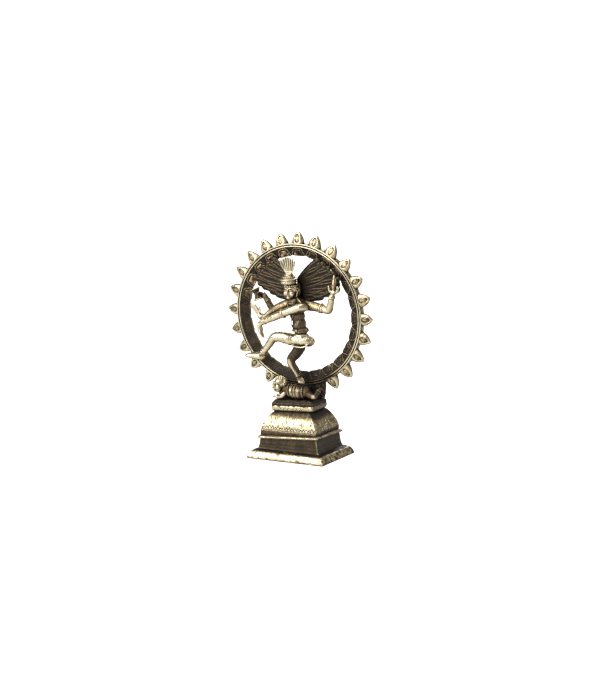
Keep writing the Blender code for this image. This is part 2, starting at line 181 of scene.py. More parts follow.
# %% Lights, paper and room
def soft_box(name, azimuth, elevation, distance, size, watts):
    """A square area light that looks at the statue."""
    data = bpy.data.lights.new(name, "AREA")
    data.shape = "RECTANGLE"
    data.size, data.size_y = size
    data.energy = watts
    lamp = bpy.data.objects.new(name, data)
    bpy.context.scene.collection.objects.link(lamp)
    a, e = math.radians(azimuth), math.radians(elevation)
    back = Vector((math.sin(a) * math.cos(e), -math.cos(a) * math.cos(e), math.sin(e)))
    lamp.location = AIM + back * distance
    lamp.rotation_euler = (-back).to_track_quat("-Z", "Y").to_euler()


def build_studio():
    """Four soft boxes, and a white world with a dimmer room for reflections."""
    soft_box("key_box", -24.0, 30.0, 0.60, (0.56, 0.46), 3.1)
    soft_box("top_box", 30.0, 80.0, 0.55, (0.36, 0.36), 0.8)
    soft_box("edge_box", 112.0, 18.0, 0.60, (0.12, 0.50), 1.3)
    soft_box("back_box", 205.0, 30.0, 0.65, (0.40, 0.30), 1.2)
    world = bpy.data.worlds.new("room")
    bpy.context.scene.world = world
    world.use_nodes = True
    tree = world.node_tree
    paper = tree.nodes["Background"]
    paper.inputs["Color"].default_value = (1.0, 1.0, 1.0, 1.0)
    room = tree.nodes.new("ShaderNodeBackground")
    room.inputs["Color"].default_value = (0.93, 0.96, 1.0, 1.0)
    room.inputs["Strength"].default_value = 0.28
    seen = tree.nodes.new("ShaderNodeLightPath")
    mix = tree.nodes.new("ShaderNodeMixShader")
    tree.links.new(seen.outputs["Is Camera Ray"], mix.inputs["Fac"])
    tree.links.new(room.outputs["Background"], mix.inputs[1])
    tree.links.new(paper.outputs["Background"], mix.inputs[2])
    tree.links.new(mix.outputs["Shader"], tree.nodes["World Output"].inputs["Surface"])
    bpy.context.scene.view_settings.view_transform = "Standard"


def build_floor():
    """A sheet of pale paper, just under the foot."""
    bm = bmesh.new()
    bmesh.ops.create_grid(bm, x_segments=4, y_segments=4, size=3.0)
    bmesh.ops.translate(bm, vec=(0.0, 0.0, -0.00005), verts=bm.verts)
    mesh = bpy.data.meshes.new("paper_floor")
    bm.to_mesh(mesh)
    bm.free()
    floor = bpy.data.objects.new("paper_floor", mesh)
    bpy.context.scene.collection.objects.link(floor)
    material = bpy.data.materials.new("white paper")
    material.use_nodes = True
    tree = material.node_tree
    shader = tree.nodes["Principled BSDF"]
    shader.inputs["Roughness"].default_value = 0.9
    shader.inputs["Specular IOR Level"].default_value = 0.1
    fibre = tree.nodes.new("ShaderNodeTexNoise")
    fibre.inputs["Scale"].default_value = 240.0
    tone = tree.nodes.new("ShaderNodeMapRange")
    tone.inputs["To Min"].default_value = 0.80
    tone.inputs["To Max"].default_value = 0.84
    place = tree.nodes.new("ShaderNodeTexCoord")
    tree.links.new(place.outputs["Object"], fibre.inputs["Vector"])
    tree.links.new(fibre.outputs["Fac"], tone.inputs["Value"])
    tree.links.new(tone.outputs["Result"], shader.inputs["Base Color"])
    tree.links.new(tone.outputs["Result"], shader.inputs["Emission Color"])
    seen = tree.nodes.new("ShaderNodeLightPath")
    glow = maths(tree, "ADD", maths(tree, "MULTIPLY", seen.outputs["Is Camera Ray"], 1.3), 0.06)
    tree.links.new(glow, shader.inputs["Emission Strength"])
    mesh.materials.append(material)


build_studio()
build_floor()

# %% [markdown]
# ## The finish: where brass is rubbed and where it stays dark
#
# Antique brass is dipped until it goes brown-black all over and is then rubbed. Three things
# decide how pale a spot gets: how far it stands proud, how open it is, and how much it faces the
# key light at the front left; the last is painted light, not rubbing. The first node group adds
# those up into one mask. A "ridge" attribute, measured on the mesh, finds ridges; ambient
# occlusion finds hollows, and the surface's own normal says which way a spot faces. Cycles has a
# Pointiness output for ridges too, but on a casting this small it left bright specks and slivers,
# so the ridges are measured here instead. A second attribute, written while a piece is shaped,
# darkens the engraved cuts and the patina, and in places carries painted shade and painted light.

# %% Group: how far a spot has been rubbed back, with painted light on the side towards the key light
# Painted light: spots that face this way, towards the key light at the front left, are made paler.
LIT_SIDE_DIRECTION = Vector((-0.20, -0.93, 0.30)).normalized()


def rubbed_and_lit_group():
    """Mask from 0, full patina, to 1, bare polished brass; it also carries painted light and shade."""
    tree, given, out = group("rubbed and lit mask", [
        ("Rub", 0.5), ("Ridges", 6.0), ("Hollows", 0.8), ("Facing", 0.3), ("Mottle", 0.3),
        ("Mottle Scale", 900.0)], [("Mask", "NodeSocketFloat")])
    shape = tree.nodes.new("ShaderNodeNewGeometry")
    ridge = tree.nodes.new("ShaderNodeAttribute")
    ridge.attribute_name = "ridge"
    proud = maths(tree, "MULTIPLY", ridge.outputs["Fac"], given["Ridges"])
    open_air = tree.nodes.new("ShaderNodeAmbientOcclusion")
    open_air.samples = 6
    open_air.inputs["Distance"].default_value = 1.6 * MM
    shut_in = maths(tree, "SUBTRACT", 1.0, open_air.outputs["AO"])
    hollow = maths(tree, "MULTIPLY", shut_in, given["Hollows"])
    # Painted light: faces turned towards the key light side are made paler.
    turned_to = tree.nodes.new("ShaderNodeVectorMath")
    turned_to.operation = "DOT_PRODUCT"
    turned_to.inputs[1].default_value = LIT_SIDE_DIRECTION
    tree.links.new(shape.outputs["Normal"], turned_to.inputs[0])
    lit_side = maths(tree, "MULTIPLY", turned_to.outputs["Value"], given["Facing"])
    patch = maths(tree, "SUBTRACT", mottling(tree, given["Mottle Scale"]), 0.5)
    mottle = maths(tree, "MULTIPLY", patch, given["Mottle"])
    # The second attribute holds engraved cuts, patina and wear, and in places painted shade and painted
    # light.
    cut = tree.nodes.new("ShaderNodeAttribute")
    cut.attribute_name = "grime_and_painted_light"
    total = maths(tree, "ADD", given["Rub"], proud)
    total = maths(tree, "SUBTRACT", total, hollow)
    total = maths(tree, "ADD", total, lit_side)
    total = maths(tree, "ADD", total, mottle)
    total = maths(tree, "SUBTRACT", total, cut.outputs["Fac"], clamp=True)
    tree.links.new(total, out["Mask"])
    return tree


# %% Group: the colour and gloss of brass for a given amount of rubbing
def brass_group():
    """Patina, thin brown film and bare metal, with a little red and green drift."""
    tree, _, out = group("brass colour", [("Mask", 0.5)], [
        ("Colour", "NodeSocketColor"), ("Roughness", "NodeSocketFloat"),
        ("Metallic", "NodeSocketFloat")])
    mask = tree.nodes["Group Input"].outputs["Mask"]
    metal = ramp(tree, mask, [
        (0.00, (0.022, 0.016, 0.011)), (0.22, (0.055, 0.039, 0.024)), (0.45, (0.19, 0.135, 0.074)),
        (0.68, (0.52, 0.40, 0.22)), (1.00, (0.90, 0.79, 0.55))])
    drift = ramp(tree, mottling(tree, 320.0, 3.0), [
        (0.30, (0.84, 1.0, 0.90)), (0.50, (1.0, 1.0, 1.0)), (0.72, (1.0, 0.86, 0.74))])
    tint = tree.nodes.new("ShaderNodeMix")
    tint.data_type = "RGBA"
    tint.blend_type = "MULTIPLY"
    tint.inputs["Factor"].default_value = 0.65
    tree.links.new(metal, tint.inputs["A"])
    tree.links.new(drift, tint.inputs["B"])
    tree.links.new(tint.outputs["Result"], out["Colour"])
    gloss = tree.nodes.new("ShaderNodeMapRange")
    gloss.inputs["To Min"].default_value = 0.50
    gloss.inputs["To Max"].default_value = 0.24
    tree.links.new(mask, gloss.inputs["Value"])
    smear = maths(tree, "MULTIPLY", maths(tree, "SUBTRACT", mottling(tree, 1500.0), 0.5), 0.22)
    tree.links.new(maths(tree, "ADD", gloss.outputs["Result"], smear, clamp=True), out["Roughness"])
    bare = tree.nodes.new("ShaderNodeMapRange")
    bare.inputs["To Min"].default_value = 0.72
    tree.links.new(mask, bare.inputs["Value"])
    tree.links.new(bare.outputs["Result"], out["Metallic"])
    return tree


# %% Group: the skin of a small sand or wax casting
def grain_group():
    """Height for a Bump node: fine grain, pin holes and drag marks from polishing."""
    tree, given, out = group("cast grain", [("Grain", 1.0), ("Drag", 1.0)],
                             [("Height", "NodeSocketFloat")])
    grain = maths(tree, "MULTIPLY", mottling(tree, 2600.0, 6.0), given["Grain"])
    drag = mottling(tree, 700.0, 4.0, (0.35, 1.0, 6.0))
    drag = maths(tree, "MULTIPLY", drag, given["Drag"])
    place = tree.nodes.new("ShaderNodeTexCoord")
    cells = tree.nodes.new("ShaderNodeTexVoronoi")
    cells.inputs["Scale"].default_value = 900.0
    tree.links.new(place.outputs["Object"], cells.inputs["Vector"])
    pit = tree.nodes.new("ShaderNodeMapRange")
    pit.inputs["From Min"].default_value = 0.10
    pit.inputs["From Max"].default_value = 0.22
    tree.links.new(cells.outputs["Distance"], pit.inputs["Value"])
    pits = maths(tree, "MULTIPLY", pit.outputs["Result"], 0.15)
    tree.links.new(maths(tree, "ADD", maths(tree, "ADD", grain, drag), pits), out["Height"])
    return tree


RUBBED_AND_LIT, BRASS, GRAIN = rubbed_and_lit_group(), brass_group(), grain_group()


# %% Materials made from the groups
def brass(name, rub, ridges=7.0, hollows=0.8, lit_side=0.35, mottle=0.35, mottle_scale=900.0,
          grain=1.0, drag=0.6, depth=0.06):
    """One brass: the groups feed the shader, which stays here in the material."""
    material = bpy.data.materials.new(name)
    material.use_nodes = True
    tree = material.node_tree
    shader = tree.nodes["Principled BSDF"]
    placed = []
    for source in (RUBBED_AND_LIT, BRASS, GRAIN):
        node = tree.nodes.new("ShaderNodeGroup")
        node.node_tree = source
        placed.append(node)
    mask, colour, skin = placed
    for label, value in (("Rub", rub), ("Ridges", ridges), ("Hollows", hollows), ("Facing", lit_side),
                         ("Mottle", mottle), ("Mottle Scale", mottle_scale)):
        mask.inputs[label].default_value = value
    skin.inputs["Grain"].default_value = grain
    skin.inputs["Drag"].default_value = drag
    tree.links.new(mask.outputs["Mask"], colour.inputs["Mask"])
    tree.links.new(colour.outputs["Colour"], shader.inputs["Base Color"])
    tree.links.new(colour.outputs["Roughness"], shader.inputs["Roughness"])
    tree.links.new(colour.outputs["Metallic"], shader.inputs["Metallic"])
    bump = tree.nodes.new("ShaderNodeBump")
    bump.inputs["Strength"].default_value = 0.8
    bump.inputs["Distance"].default_value = depth * MM
    tree.links.new(skin.outputs["Height"], bump.inputs["Height"])
    tree.links.new(bump.outputs["Normal"], shader.inputs["Normal"])
    return material


PEDESTAL_BRASS = brass("pedestal brass", 0.40, ridges=14.0, lit_side=0.42, mottle=0.34)
FOOT_BRASS = brass("foot slab brass", 0.66, lit_side=0.25, hollows=1.0, mottle=0.7, mottle_scale=600.0)
DARK_BRASS = brass("dado brass", 0.15, ridges=22.0, lit_side=0.12, mottle=0.16)
RING_BRASS = brass("ring brass", 0.18, ridges=9.0, lit_side=0.12, mottle=0.30)
FLAME_BRASS = brass("flame brass", 0.31, ridges=6.0, lit_side=0.50, mottle=0.35)
# The next two are a lit and a shaded copy of one brass: the paler one goes on parts that stand forward, the
# darker on parts behind them, so their difference is partly wear and partly painted light and shade.
LIT_LIMB_BRASS = brass("rubbed and lit limb brass", 0.62, lit_side=0.35, mottle=0.30)
SHADED_TRUNK_BRASS = brass("shaded trunk brass", 0.20, ridges=10.0, lit_side=0.15)
FACE_BRASS = brass("face brass", 0.64, ridges=7.0, hollows=0.6, lit_side=0.30, mottle=0.2, depth=0.03)
HAIR_BRASS = brass("hair brass", 0.08, ridges=8.0, lit_side=0.12, mottle=0.25)
print("brass materials:", len([m for m in bpy.data.materials if "brass" in m.name]))

# %% [markdown]
# ## Helpers for shaping
#
# Every casting is placed from the frame. `at` gives a point inside a node's box as three
# fractions, low to high, so a limb follows its imported solid wherever that is. `cast` scales a
# finished bmesh to metres, makes it ride on the statue's body and hides the nodes it stands for.

# %% Placing and finishing
BOXES = {name: tuple(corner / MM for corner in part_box(name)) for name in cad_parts}


def span(node):
    """The lowest and highest corners of a node's box, in millimetres."""
    return BOXES[node]


def at(node, across, deep, high):
    """A point in a node's box, in millimetres; each fraction runs from its low to its high side."""
    low, top = BOXES[node]
    return Vector((low.x + (top.x - low.x) * across, low.y + (top.y - low.y) * deep,
                   low.z + (top.z - low.z) * high))


def measure_ridges(mesh):
    """Write how far each point stands proud of its neighbours, above 0 on a ridge."""
    count = len(mesh.vertices)
    places = np.empty(count * 3, dtype=np.float32)
    mesh.vertices.foreach_get("co", places)
    normals = np.empty(count * 3, dtype=np.float32)
    mesh.vertex_normals.foreach_get("vector", normals)
    ends = np.empty(len(mesh.edges) * 2, dtype=np.int32)
    mesh.edges.foreach_get("vertices", ends)
    places, normals, ends = places.reshape(-1, 3), normals.reshape(-1, 3), ends.reshape(-1, 2)
    way = places[ends[:, 1]] - places[ends[:, 0]]
    way /= np.maximum(np.linalg.norm(way, axis=1), 1e-12)[:, None]
    start, end = ends[:, 0], ends[:, 1]
    links = np.bincount(ends.ravel(), minlength=count)
    drop = np.bincount(start, (way * normals[start]).sum(axis=1), count)
    drop -= np.bincount(end, (way * normals[end]).sum(axis=1), count)
    proud = np.arccos(np.clip(drop / np.maximum(links, 1), -1.0, 1.0)) / math.pi - 0.5
    nearby = np.bincount(start, proud[end], count) + np.bincount(end, proud[start], count)
    ridge = mesh.attributes.new("ridge", "FLOAT", "POINT")
    ridge.data.foreach_set("value", ((proud + nearby) / (links + 1)).astype(np.float32))


def cast(name, bm, material, slot, *nodes, sharp=80.0):
    """Finish a casting: metres, smooth shading, its material, its body and its nodes."""
    bmesh.ops.scale(bm, vec=(MM, MM, MM), verts=bm.verts)
    mesh = bpy.data.meshes.new(name)
    bm.to_mesh(mesh)
    bm.free()
    measure_ridges(mesh)
    mesh.shade_smooth()
    mesh.set_sharp_from_angle(angle=math.radians(sharp))
    mesh.materials.append(material)
    piece = bpy.data.objects.new(name, mesh)
    bpy.context.scene.collection.objects.link(piece)
    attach(piece, "root")
    if nodes:
        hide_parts(*nodes)
    print(name, len(mesh.polygons), "faces")
    return piece


# %% Surfaces wrapped from a grid
def wrapped(around, up, place, cap=True):
    """Bend a grid into a closed wall: place(s, t) gives the point for s round and t up."""
    bm = bmesh.new()
    bmesh.ops.create_grid(bm, x_segments=around, y_segments=up, size=0.5)
    for vert in bm.verts:
        vert.co = place(vert.co.x + 0.5, vert.co.y + 0.5)
    bmesh.ops.remove_doubles(bm, verts=bm.verts, dist=0.0005)
    if cap:
        bmesh.ops.holes_fill(bm, edges=[e for e in bm.edges if e.is_boundary])
    bmesh.ops.recalc_face_normals(bm, faces=bm.faces)
    return bm


def push(bm, field):
    """Move each vertex along its normal by the first number from field; the second is how dark it is kept:
    patina, cuts and wear, and in places painted shade and painted light.
    """
    grime_and_painted_light = bm.verts.layers.float.get("grime_and_painted_light") or bm.verts.layers.float.new("grime_and_painted_light")
    bm.normal_update()
    moves = [(vert, field(vert.co, vert.normal)) for vert in bm.verts]
    for vert, (out, dirt_and_painted_light) in moves:
        vert.co += vert.normal * out
        vert[grime_and_painted_light] = dirt_and_painted_light


def ease(value, low, high):
    """0 at low, 1 at high, with soft ends."""
    t = min(max((value - low) / (high - low), 0.0), 1.0)
    return t * t * (3.0 - 2.0 * t)


def line(distance, half_width):
    """1 on a line, fading to 0 at its edge."""
    return 1.0 - ease(abs(distance), half_width * 0.4, half_width)


def rough_cast(place, size, seed=0.0):
    """Slow hand-made unevenness, from -1 to 1."""
    return noise.noise(Vector((place.x + seed, place.y - seed, place.z)) / size)

# %% [markdown]
# ## The pedestal
#
# Each tier is a rectangular casting whose sides follow a moulding profile. A grid is wrapped
# round a rounded rectangle, because a grid keeps its rows level and its columns upright, which
# is what engraving needs. The corners stay crisp, as corners that were filed do.

# %% Rounded rectangle and tiers
def on_rectangle(s, half_x, half_y, radius):
    """A point and its side's own direction on a rounded rectangle; s runs once round, from 0 to 1."""
    corner = 0.02
    side_x = (0.5 - 2.0 * corner) * 0.56
    side_y = 0.5 - 2.0 * corner - side_x
    s = s % 1.0
    for quarter, (length, along, away, axis) in enumerate((
            (side_x, half_x - radius, half_y, 0), (side_y, half_y - radius, half_x, 1)) * 2):
        if s < length:
            t = 2.0 * s / length - 1.0
            x, y = (t * along, -away) if axis == 0 else (away, t * along)
            return Vector((x, y)) if quarter < 2 else Vector((-x, -y))
        s -= length
        if s < corner:
            turn = math.radians(90.0) * (s / corner + quarter - 1.0)
            sign_x, sign_y = ((1, -1), (1, 1), (-1, 1), (-1, -1))[quarter]
            return Vector((sign_x * (half_x - radius) + radius * math.cos(turn),
                           sign_y * (half_y - radius) + radius * math.sin(turn)))
        s -= corner
    return Vector((-(half_x - radius), -half_y))


def read_profile(profile, t):
    """Height and insets at t along a moulding profile of (height, inset x, inset y) points."""
    walk = t * (len(profile) - 1)
    i = min(int(walk), len(profile) - 2)
    part = walk - i
    return [a + (b - a) * part for a, b in zip(profile[i], profile[i + 1])]


def moulded(node, profile, around, up, radius=0.35):
    """A tier inside a node's box: profile heights are fractions of it, insets are millimetres."""
    low, top = span(node)
    half_x, half_y = (top.x - low.x) * 0.5, (top.y - low.y) * 0.5

    def settled(point):
        """The tiers above the foot sit a little crooked: their left front corner has sunk."""
        amount = ease(point.z, 3.6, 9.0) * point.x / 14.0
        return point + Vector((0.0, 0.0, amount * (0.55 - 0.03 * point.y)))

    def place(s, t):
        height, inset_x, inset_y = read_profile(profile, t)
        point = on_rectangle(s, half_x - inset_x, half_y - inset_y, radius)
        return settled(Vector((point.x, point.y, low.z + height * (top.z - low.z))))

    return wrapped(around, up, place)


def nicks(place, size, depth):
    """Dents and worn spots along hand-filed edges."""
    spot = noise.noise(place / size) + 0.5 * noise.noise(place / (size * 0.4))
    return -depth * ease(spot, 0.35, 0.9)


# %% [markdown]
# The foot slab carries the most wear: its sloping sides are bright, dented and uneven, while
# its flat top keeps the patina, and the sides that face right carry patches of painted shade.
# One bright arc is rubbed into the top in front of the dado.
# The screw's pocket underneath is cut with a Boolean, so that the fixing can be seen from below.

# %% Foot slab
FOOT_PROFILE = [(0.00, 0.25, 0.25), (0.05, 0.12, 0.12), (0.22, 0.12, 0.12), (0.50, 0.42, 0.36),
                (0.82, 0.98, 0.86), (0.94, 1.35, 1.18), (1.00, 1.75, 1.55), (1.05, 2.3, 2.0),
                (1.28, 4.10, 3.40), (1.30, 5.0, 4.3)]
POCKET_RADIUS = 2.9
POCKET_DEPTH = 2.4


def foot_surface(place, normal):
    """Slow unevenness and dents on the sides; patina on the top, a paler scratched arc, and patches of
    painted shade on the sides that face right.
    """
    level = ease(place.z, 3.0, 3.25)
    out = 0.10 * rough_cast(place, 3.0) + 0.05 * rough_cast(place, 1.1, 4.0)
    out += nicks(place, 1.3, 0.16) * (1.0 - level)
    arc = line(math.hypot(place.x - 1.0, place.y + 5.9) - 5.0, 0.16) * level * (place.y < -9.6)
    dirt_and_painted_light = 0.66 * level - 0.8 * arc + 0.35 * ease(rough_cast(place, 1.7, 9.0), 0.15, 0.5)
    # Painted shade: the sides that face right are darkened in patches.
    dirt_and_painted_light += 0.28 * ease(normal.x, 0.2, 0.6) * ease(rough_cast(place, 1.2, 2.0), -0.15, 0.4)
    return (out if place.z > 0.2 else 0.0), dirt_and_painted_light


def build_foot():
    """The slab, with its pocket for the screw's head."""
    bm = moulded("foot_slab", FOOT_PROFILE, 520, 64, radius=0.5)
    push(bm, foot_surface)
    piece = cast("foot_slab_cast", bm, FOOT_BRASS, "polished_brass", "foot_slab", sharp=38.0)
    screw_low, screw_top = span("fixing_screw")
    tool_bm = bmesh.new()
    bmesh.ops.create_cone(tool_bm, cap_ends=True, segments=48, radius1=POCKET_RADIUS * MM,
                          radius2=POCKET_RADIUS * MM, depth=2.0 * POCKET_DEPTH * MM)
    centre = (screw_low + screw_top) * 0.5 * MM
    bmesh.ops.translate(tool_bm, vec=(centre.x, centre.y, 0.0), verts=tool_bm.verts)
    tool_mesh = bpy.data.meshes.new("pocket_cutter")
    tool_bm.to_mesh(tool_mesh)
    tool_bm.free()
    tool = bpy.data.objects.new("pocket_cutter", tool_mesh)
    bpy.context.scene.collection.objects.link(tool)
    apply_boolean(piece, tool)


def apply_boolean(piece, tool):
    """Cut the tool out of the piece, keep the result and remove the tool."""
    cut = piece.modifiers.new("cut", "BOOLEAN")
    cut.operation = "DIFFERENCE"
    cut.object = tool
    graph = bpy.context.evaluated_depsgraph_get()
    result = bpy.data.meshes.new_from_object(piece.evaluated_get(graph))
    piece.modifiers.remove(cut)
    old = piece.data
    piece.data = result
    bpy.data.meshes.remove(old)
    bpy.data.objects.remove(tool, do_unlink=True)


build_foot()

# %% [markdown]
# The dado is nearly flat and stays dark; only its corners shine. The ledge above it is thin,
# bright and a little wavy, as a strip is that was filed by hand.

# %% Dado and ledge
DADO_PROFILE = [(-0.06, -0.4, -0.3), (0.10, -0.4, -0.3), (0.25, -0.1, -0.1), (0.5, 0.22, 0.05),
                (0.96, 0.55, 0.1), (1.02, 0.6, 0.1), (1.10, 0.9, 0.4)]
LEDGE_PROFILE = [(-0.25, 0.8, 0.8), (0.0, 0.30, 0.30), (0.22, 0.06, 0.06), (0.5, 0.0, 0.0),
                 (0.78, 0.06, 0.06), (1.0, 0.35, 0.35), (1.3, 0.9, 0.9)]

dado = moulded("dado_block", DADO_PROFILE, 360, 40, radius=0.3)
push(dado, lambda place, normal: (0.06 * rough_cast(place, 3.4) + 0.012 * rough_cast(place, 0.9, 3.0),
                                  0.09 * rough_cast(place, 3.2, 5.0)))
cast("dado_cast", dado, DARK_BRASS, "aged_brass", "dado_block", sharp=38.0)

ledge = moulded("ledge_plate", LEDGE_PROFILE, 480, 18, radius=0.3)
push(ledge, lambda place, normal: (0.09 * rough_cast(place, 1.8) + nicks(place, 0.9, 0.12),
                                   0.2 * ease(rough_cast(place, 1.5, 2.0), 0.2, 0.6)))
cast("ledge_cast", ledge, PEDESTAL_BRASS, "polished_brass", "ledge_plate", sharp=38.0)

# %% [markdown]
# The bell is a lotus base that the engraver only hinted at: a zigzag row of petals over a single
# line low down, and longer cuts that run up towards the neck. The cuts are real grooves. A
# triangle wave gives the zigzag, and a loop draws the long cuts, whose places come from a hash
# of their number, so they look loose but never change.

# %% Bell moulding and its engraving
BELL_STEPS = 24
PETAL_PITCH = 1.30
CUT_WIDTH = 0.15


def bell_profile():
    """Quarter-round sides: steep above the ledge, then curving in to the neck."""
    steps = [(-0.04, 0.5, 0.5)]
    for i in range(BELL_STEPS + 1):
        t = i / BELL_STEPS
        swell = math.cos(t * math.pi * 0.5) ** 0.8 if t < 1.0 else 0.0
        tuck = 0.25 * (1.0 - t) ** 6
        steps.append((t, 4.4 * (1.0 - swell) + tuck, 3.1 * (1.0 - swell) + tuck))
    return steps + [(1.05, 5.1, 3.8)]


def triangle(value):
    """A triangle wave from 0 to 1 and back over a period of 1."""
    part = value % 1.0
    return 2.0 * part if part < 0.5 else 2.0 - 2.0 * part


def hashed(number, salt):
    """A fixed pseudo-random number from 0 to 1."""
    return (math.sin(number * 127.1 + salt * 311.7) * 43758.5453) % 1.0


def bell_cuts(along, height, side):
    """Depth of cut from 0 to 1 at a place on one side of the bell."""
    petal = math.floor(along / PETAL_PITCH)
    rise = 0.55 + 0.9 * hashed(petal, side + 1.0)
    wave = 12.1 + rise * triangle(along / PETAL_PITCH) + 0.35 * hashed(petal, side)
    cut = (0.35 + 0.65 * hashed(petal, side + 2.0)) * line((height - wave) * 0.5, CUT_WIDTH)
    cut = max(cut, 0.5 * line(height - 11.75 - 0.2 * math.sin(along * 0.9), CUT_WIDTH))
    for k in range(9):
        middle = -10.5 + 2.5 * k + 2.2 * (hashed(k, side) - 0.5)
        foot = 12.9 + 1.6 * hashed(k, side + 3.0)
        head = foot + 1.6 + 2.8 * hashed(k, side + 5.0)
        lean = 0.9 * (hashed(k, side + 7.0) - 0.5)
        if foot < height < head:
            taper = min((height - foot) / 0.5, (head - height) / 0.7, 1.0)
            gap = along - middle - lean * (height - foot)
            cut = max(cut, taper * line(gap, CUT_WIDTH))
            cut = max(cut, 0.6 * taper * line(gap - 0.3 - 0.3 * (height - foot), CUT_WIDTH * 0.8))
    return cut


def bell_surface(place, normal):
    """Engraved cuts, hand-made unevenness, the dark band above the ledge, painted shade towards the neck
    under the roll, and painted light on both ends.
    """
    on_end = abs(normal.x) > abs(normal.y)
    along = place.y if on_end else place.x
    side = (1.0 if normal.x > 0 else 2.0) if on_end else (3.0 if normal.y > 0 else 4.0)
    cut = bell_cuts(along, place.z, side)
    out = 0.10 * rough_cast(place, 3.2) + 0.04 * rough_cast(place, 0.9, 6.0) - 0.15 * cut
    band = 1.0 - ease(place.z, 10.5, 12.7)
    # Painted shade: the bell darkens towards the neck, under the overhanging roll.
    neck = ease(place.z, 15.6, 18.2)
    # Painted light: both ends of the bell are made paler.
    painted_light_on_ends = -0.14 * on_end
    return out, 0.85 * cut + 0.50 * band + 0.55 * neck + painted_light_on_ends + 0.15 * rough_cast(place, 1.1, 8.0)


bell = moulded("bell_moulding", bell_profile(), 560, 90, radius=0.3)
push(bell, bell_surface)
cast("bell_cast", bell, PEDESTAL_BRASS, "polished_brass", "bell_moulding", sharp=38.0)

# %% [markdown]
# The roll is a cushion-edged slab with a row of small chisel marks along its middle. The seat on
# it slopes in under the dwarf and is never rubbed.

# %% Roll and seat
def roll_profile():
    """A half-round edge, with flats above and below it."""
    steps = [(-0.06, 1.5, 1.5)]
    for i in range(13):
        angle = math.pi * i / 12.0
        inset = 1.0 * (1.0 - math.sin(angle))
        steps.append(((1.0 - math.cos(angle)) * 0.5, inset, inset))
    return steps + [(1.06, 1.5, 1.5)]


def roll_surface(place, normal):
    """Chisel marks across the front and back of the roll."""
    middle = 0.5 * (ROLL_LOW.z + ROLL_TOP.z)
    across = place.y if abs(normal.x) > abs(normal.y) else place.x
    slanted = across - 1.1 * (place.z - middle)
    number = math.floor(slanted / 0.8)
    gap = slanted - (number + 0.5 + 0.3 * (hashed(number, 1.0) - 0.5)) * 0.8
    reach = 0.25 + 0.4 * hashed(number, 2.0)
    mark = line(gap, 0.15) * (1.0 - ease(abs(place.z - middle + 0.35), reach * 0.6, reach))
    mark *= hashed(number, 4.0) > 0.4 and abs(across) < 5.5
    return 0.08 * rough_cast(place, 2.4) - 0.12 * mark, 0.7 * mark + 0.12 * rough_cast(place, 0.8)


ROLL_LOW, ROLL_TOP = span("neck_roll")
SEAT_PROFILE = [(-1.5, -0.5, -0.4), (0.1, -0.35, -0.3), (0.5, 0.0, 0.0), (1.0, 0.2, 0.2),
                (1.5, 0.7, 0.6), (1.7, 1.4, 1.2)]
roll = moulded("neck_roll", roll_profile(), 420, 44, radius=0.8)
push(roll, roll_surface)
cast("roll_cast", roll, PEDESTAL_BRASS, "polished_brass", "neck_roll", sharp=38.0)
seat = moulded("seat_plate", SEAT_PROFILE, 260, 24, radius=0.8)
push(seat, lambda place, normal: (0.16 * rough_cast(place, 1.3), 0.1))
cast("seat_cast", seat, HAIR_BRASS, "aged_brass", "seat_plate")

# %% [markdown]
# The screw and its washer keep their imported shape. They only need a finish: turned steel, with
# fine rings from the lathe and a trace of rust.

# %% Steel for the fixing
def turned_steel():
    """Brushed steel whose colour and gloss change over the surface."""
    material = bpy.data.materials.new("turned steel")
    material.use_nodes = True
    tree = material.node_tree
    shader = tree.nodes["Principled BSDF"]
    shader.inputs["Metallic"].default_value = 1.0
    colour = ramp(tree, mottling(tree, 800.0), [
        (0.35, (0.40, 0.39, 0.38)), (0.62, (0.56, 0.56, 0.57)), (0.80, (0.30, 0.18, 0.10))])
    tree.links.new(colour, shader.inputs["Base Color"])
    rings = mottling(tree, 900.0, 3.0, (1.0, 1.0, 5.0))
    gloss = maths(tree, "ADD", maths(tree, "MULTIPLY", rings, 0.3), 0.22)
    tree.links.new(gloss, shader.inputs["Roughness"])
    bump = tree.nodes.new("ShaderNodeBump")
    bump.inputs["Distance"].default_value = 0.03 * MM
    tree.links.new(rings, bump.inputs["Height"])
    tree.links.new(bump.outputs["Normal"], shader.inputs["Normal"])
    return material


STEEL = turned_steel()
for node in ("fixing_screw", "fixing_washer"):
    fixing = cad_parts[node]
    fixing.data.materials.clear()
    fixing.data.materials.append(STEEL)
    print(node, "keeps its packed mesh")

# %% [markdown]
# ## The ring
#
# The ring is turned: a cross-section is swept once round the ring's own axis. Its front has two thin
# rims with a groove between them; inside them the band slopes back, and carries raised cloud
# panels, each with a raised line round it. The panels are a height field in polar coordinates,
# so the swept mesh is made fine enough to hold it, and the inner edge follows the panels in
# scallops.

# %% Ring cross-section
RING_LOW, RING_TOP = span("ring_band")
RING_MIDDLE = (RING_LOW + RING_TOP) * 0.5
RING_RADIUS = (RING_TOP.z - RING_LOW.z) * 0.5
BAND_WIDTH = 3.9
RING_STEPS = 840
PANELS = 24


